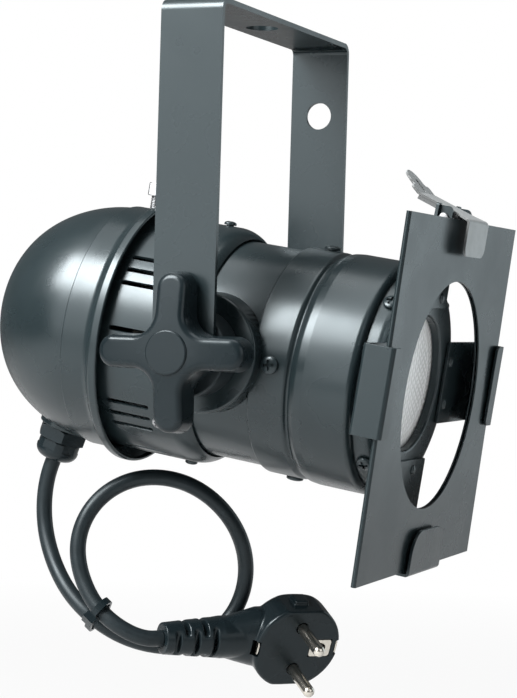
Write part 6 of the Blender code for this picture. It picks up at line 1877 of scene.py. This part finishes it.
def make_lamp(scene):
    """The reflector's bowl and the pressed lens in front of it. The lens is pressed on both faces."""
    housing = scene.par_can_housing
    crown, edge, radius, wall = 0.0022, 0.0026, 0.0322, 0.0014
    neck_radius, neck, neck_length, rim_depth = 0.0145, 0.004, 0.004, 0.0052
    lens_front = housing.ring_front - housing.opening_lip - GAP - crown / 3
    front = lens_front - edge - GAP
    rim, start = front - rim_depth, neck + neck_length
    outer = [(neck_radius, neck), (neck_radius, start)]
    outer += bowl(neck_radius, radius - wall, start, rim) + [(radius, rim + wall), (radius, front)]
    inner = [(0, start + wall)] + bowl(neck_radius - wall, radius - 2 * wall, start + wall, rim)
    inner += [(radius - 2 * wall, front)]
    shell = [(0, neck)] + outer + inner[::-1]
    turned_shell("reflector_bowl", shell, scene, "lamp_envelope", 96, "mirror_coat")
    back = lens_front - edge
    lens = [(0, back + crown)] + lens_curve(radius, crown, back)[::-1][1:]
    lens += lens_curve(radius, crown, lens_front) + [(0, lens_front + crown)]
    bm = lathe(lens, 360)
    for vert in bm.verts:
        reach = math.hypot(vert.co.x, vert.co.y)
        middle = (back + lens_front) / 2 + crown * (1 - (reach / radius) ** 2)
        vert.co.z += math.copysign(pressed_depth(vert.co.x, vert.co.y, reach), middle - vert.co.z)
    glass = work_object("pressed_lens", bm, along_beam(scene))
    dress(glass, "lamp_glass", "can", "lamp_lens", weighted=False)


def pressed_depth(x, y, reach):
    """How deep the mould pressed the glass here: a field of round lenses, then flutes towards the edge."""
    pitch, flutes, field_edge, flute_edge = 0.0027, 60, 0.0215, 0.0275
    field_depth, flute_depth, blend = 0.00035, 0.0005, 0.001
    if reach > flute_edge:
        return 0.0
    if reach > field_edge:
        ease = math.sin(math.pi * (reach - field_edge) / (flute_edge - field_edge))
        return flute_depth * ease * (0.5 - 0.5 * math.cos(flutes * math.atan2(y, x)))
    wave = math.tau / pitch
    across, aslant = x / 2, y * math.sqrt(3) / 2
    waves = (x, across + aslant, across - aslant)
    crests = (math.cos(wave * waves[0]) + math.cos(wave * waves[1]) + math.cos(wave * waves[2])) / 3
    return field_depth * (1 - crests) / 1.5 * min(1.0, (field_edge - reach) / blend)


def bowl(start_radius, end_radius, start, end, steps=16):
    """A reflector's curve: the radius grows as the square root of the depth."""
    parts = [step / steps for step in range(1, steps + 1)]
    grows = end_radius - start_radius
    return [(start_radius + grows * math.sqrt(part), start + (end - start) * part) for part in parts]


def lens_curve(radius, crown, edge, steps=56):
    """One face of the lens, from its edge almost to its middle."""
    radii = [radius * (1 - step / steps) for step in range(steps)]
    return [(here, edge + crown * (1 - (here / radius) ** 2)) for here in radii]


# The inner parts, which keep their solids


def finish_inner_parts(_scene):
    """Gives the parts inside the can their real finishes."""
    steel = (
        "cover_lock_nut", "arm_washer_left", "arm_washer_right", "pivot_bolt_left", "pivot_bolt_right",
        "earth_nut", "lampholder_bracket", "holder_screw_left", "holder_screw_right",
    )
    for slot, names in (
        ("zinc_steel", steel), ("nickel_plate", ("lamp_cap", "lampholder_sleeve")),
        ("ceramic", ("lampholder", "terminal_block")), ("black_plastic", ("gland_locknut",)),
        ("black_rubber", ("gland_seal",)),
    ):
        for name in names:
            for material_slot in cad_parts[name].material_slots:
                material_slot.material = finish_for(slot)


# The add-on's operators and panel


def piece_operator(name, label, *steps):
    """The operator behind one of the panel's buttons, which runs these steps."""

    def execute(self, context):
        for step in steps:
            step(context.scene)
        return {"FINISHED"}

    words = {
        "__doc__": f"Build: {label}", "bl_idname": f"par_can.{name}", "bl_label": label,
        "bl_options": {"REGISTER", "UNDO"}, "execute": execute,
    }
    return type(f"PARCAN_OT_{name}", (bpy.types.Operator,), words)


PIECES = (
    piece_operator("studio", "Camera, floor and lights", make_studio),
    piece_operator("mains_lead", "Mains lead and plug", make_mains_lead),
    piece_operator("gland", "Cable gland", make_gland),
    piece_operator("yoke", "Yoke", make_yoke),
    piece_operator("drum", "Slotted drum", make_drum),
    piece_operator("front_shells", "Neck, barrel and ring", make_neck, make_barrel, make_front_ring),
    piece_operator("cover", "Rear cover and lock screw", make_cover, make_cover_lock),
    piece_operator("pivots", "Pivot bosses and spacers", make_pivots),
    piece_operator("knobs", "Cross knobs", make_knobs),
    piece_operator("screws", "Screws", make_screws),
    piece_operator("gel_frame", "Gel frame", make_gel_frame),
    piece_operator("brackets", "Channels and bracket", make_channels, make_top_bracket),
    piece_operator("top_clip", "Sprung clip, pin and spring", make_top_clip),
    piece_operator("lamp", "Lamp", make_lamp),
    piece_operator("inner_parts", "Finishes of the inner parts", finish_inner_parts),
)

SETTINGS = {
    "par_can_yoke": ParCanYoke,
    "par_can_knob": ParCanKnob,
    "par_can_housing": ParCanHousing,
    "par_can_vents": ParCanVents,
    "par_can_holder": ParCanHolder,
    "par_can_clip": ParCanClip,
    "par_can_lead": ParCanLead,
    "par_can_finishes": ParCanFinishes,
    "par_can_studio": ParCanStudio,
}


class PARCAN_PT_pieces(bpy.types.Panel):
    """Lists the pieces and their sizes"""

    bl_idname = "PARCAN_PT_pieces"
    bl_label = "Par Can"
    bl_space_type = "VIEW_3D"
    bl_region_type = "UI"
    bl_category = "Par Can"

    def draw(self, context):
        for piece in PIECES:
            self.layout.operator(piece.bl_idname)
        for name in SETTINGS:
            group = getattr(context.scene, name)
            box_of_sizes = self.layout.box()
            for key in group.__annotations__:
                box_of_sizes.prop(group, key, text=key.replace("_", " ").capitalize())


def register():
    for group in SETTINGS.values():
        bpy.utils.register_class(group)
    for name, group in SETTINGS.items():
        setattr(bpy.types.Scene, name, PointerProperty(type=group))
    for piece in (*PIECES, PARCAN_PT_pieces):
        bpy.utils.register_class(piece)


def unregister():
    for piece in (PARCAN_PT_pieces, *reversed(PIECES)):
        bpy.utils.unregister_class(piece)
    for name in SETTINGS:
        delattr(bpy.types.Scene, name)
    for group in reversed(list(SETTINGS.values())):
        bpy.utils.unregister_class(group)


def main():
    register()
    for piece in PIECES:
        area, name = piece.bl_idname.split(".")
        getattr(getattr(bpy.ops, area), name)()


if __name__ == "__main__":
    main()
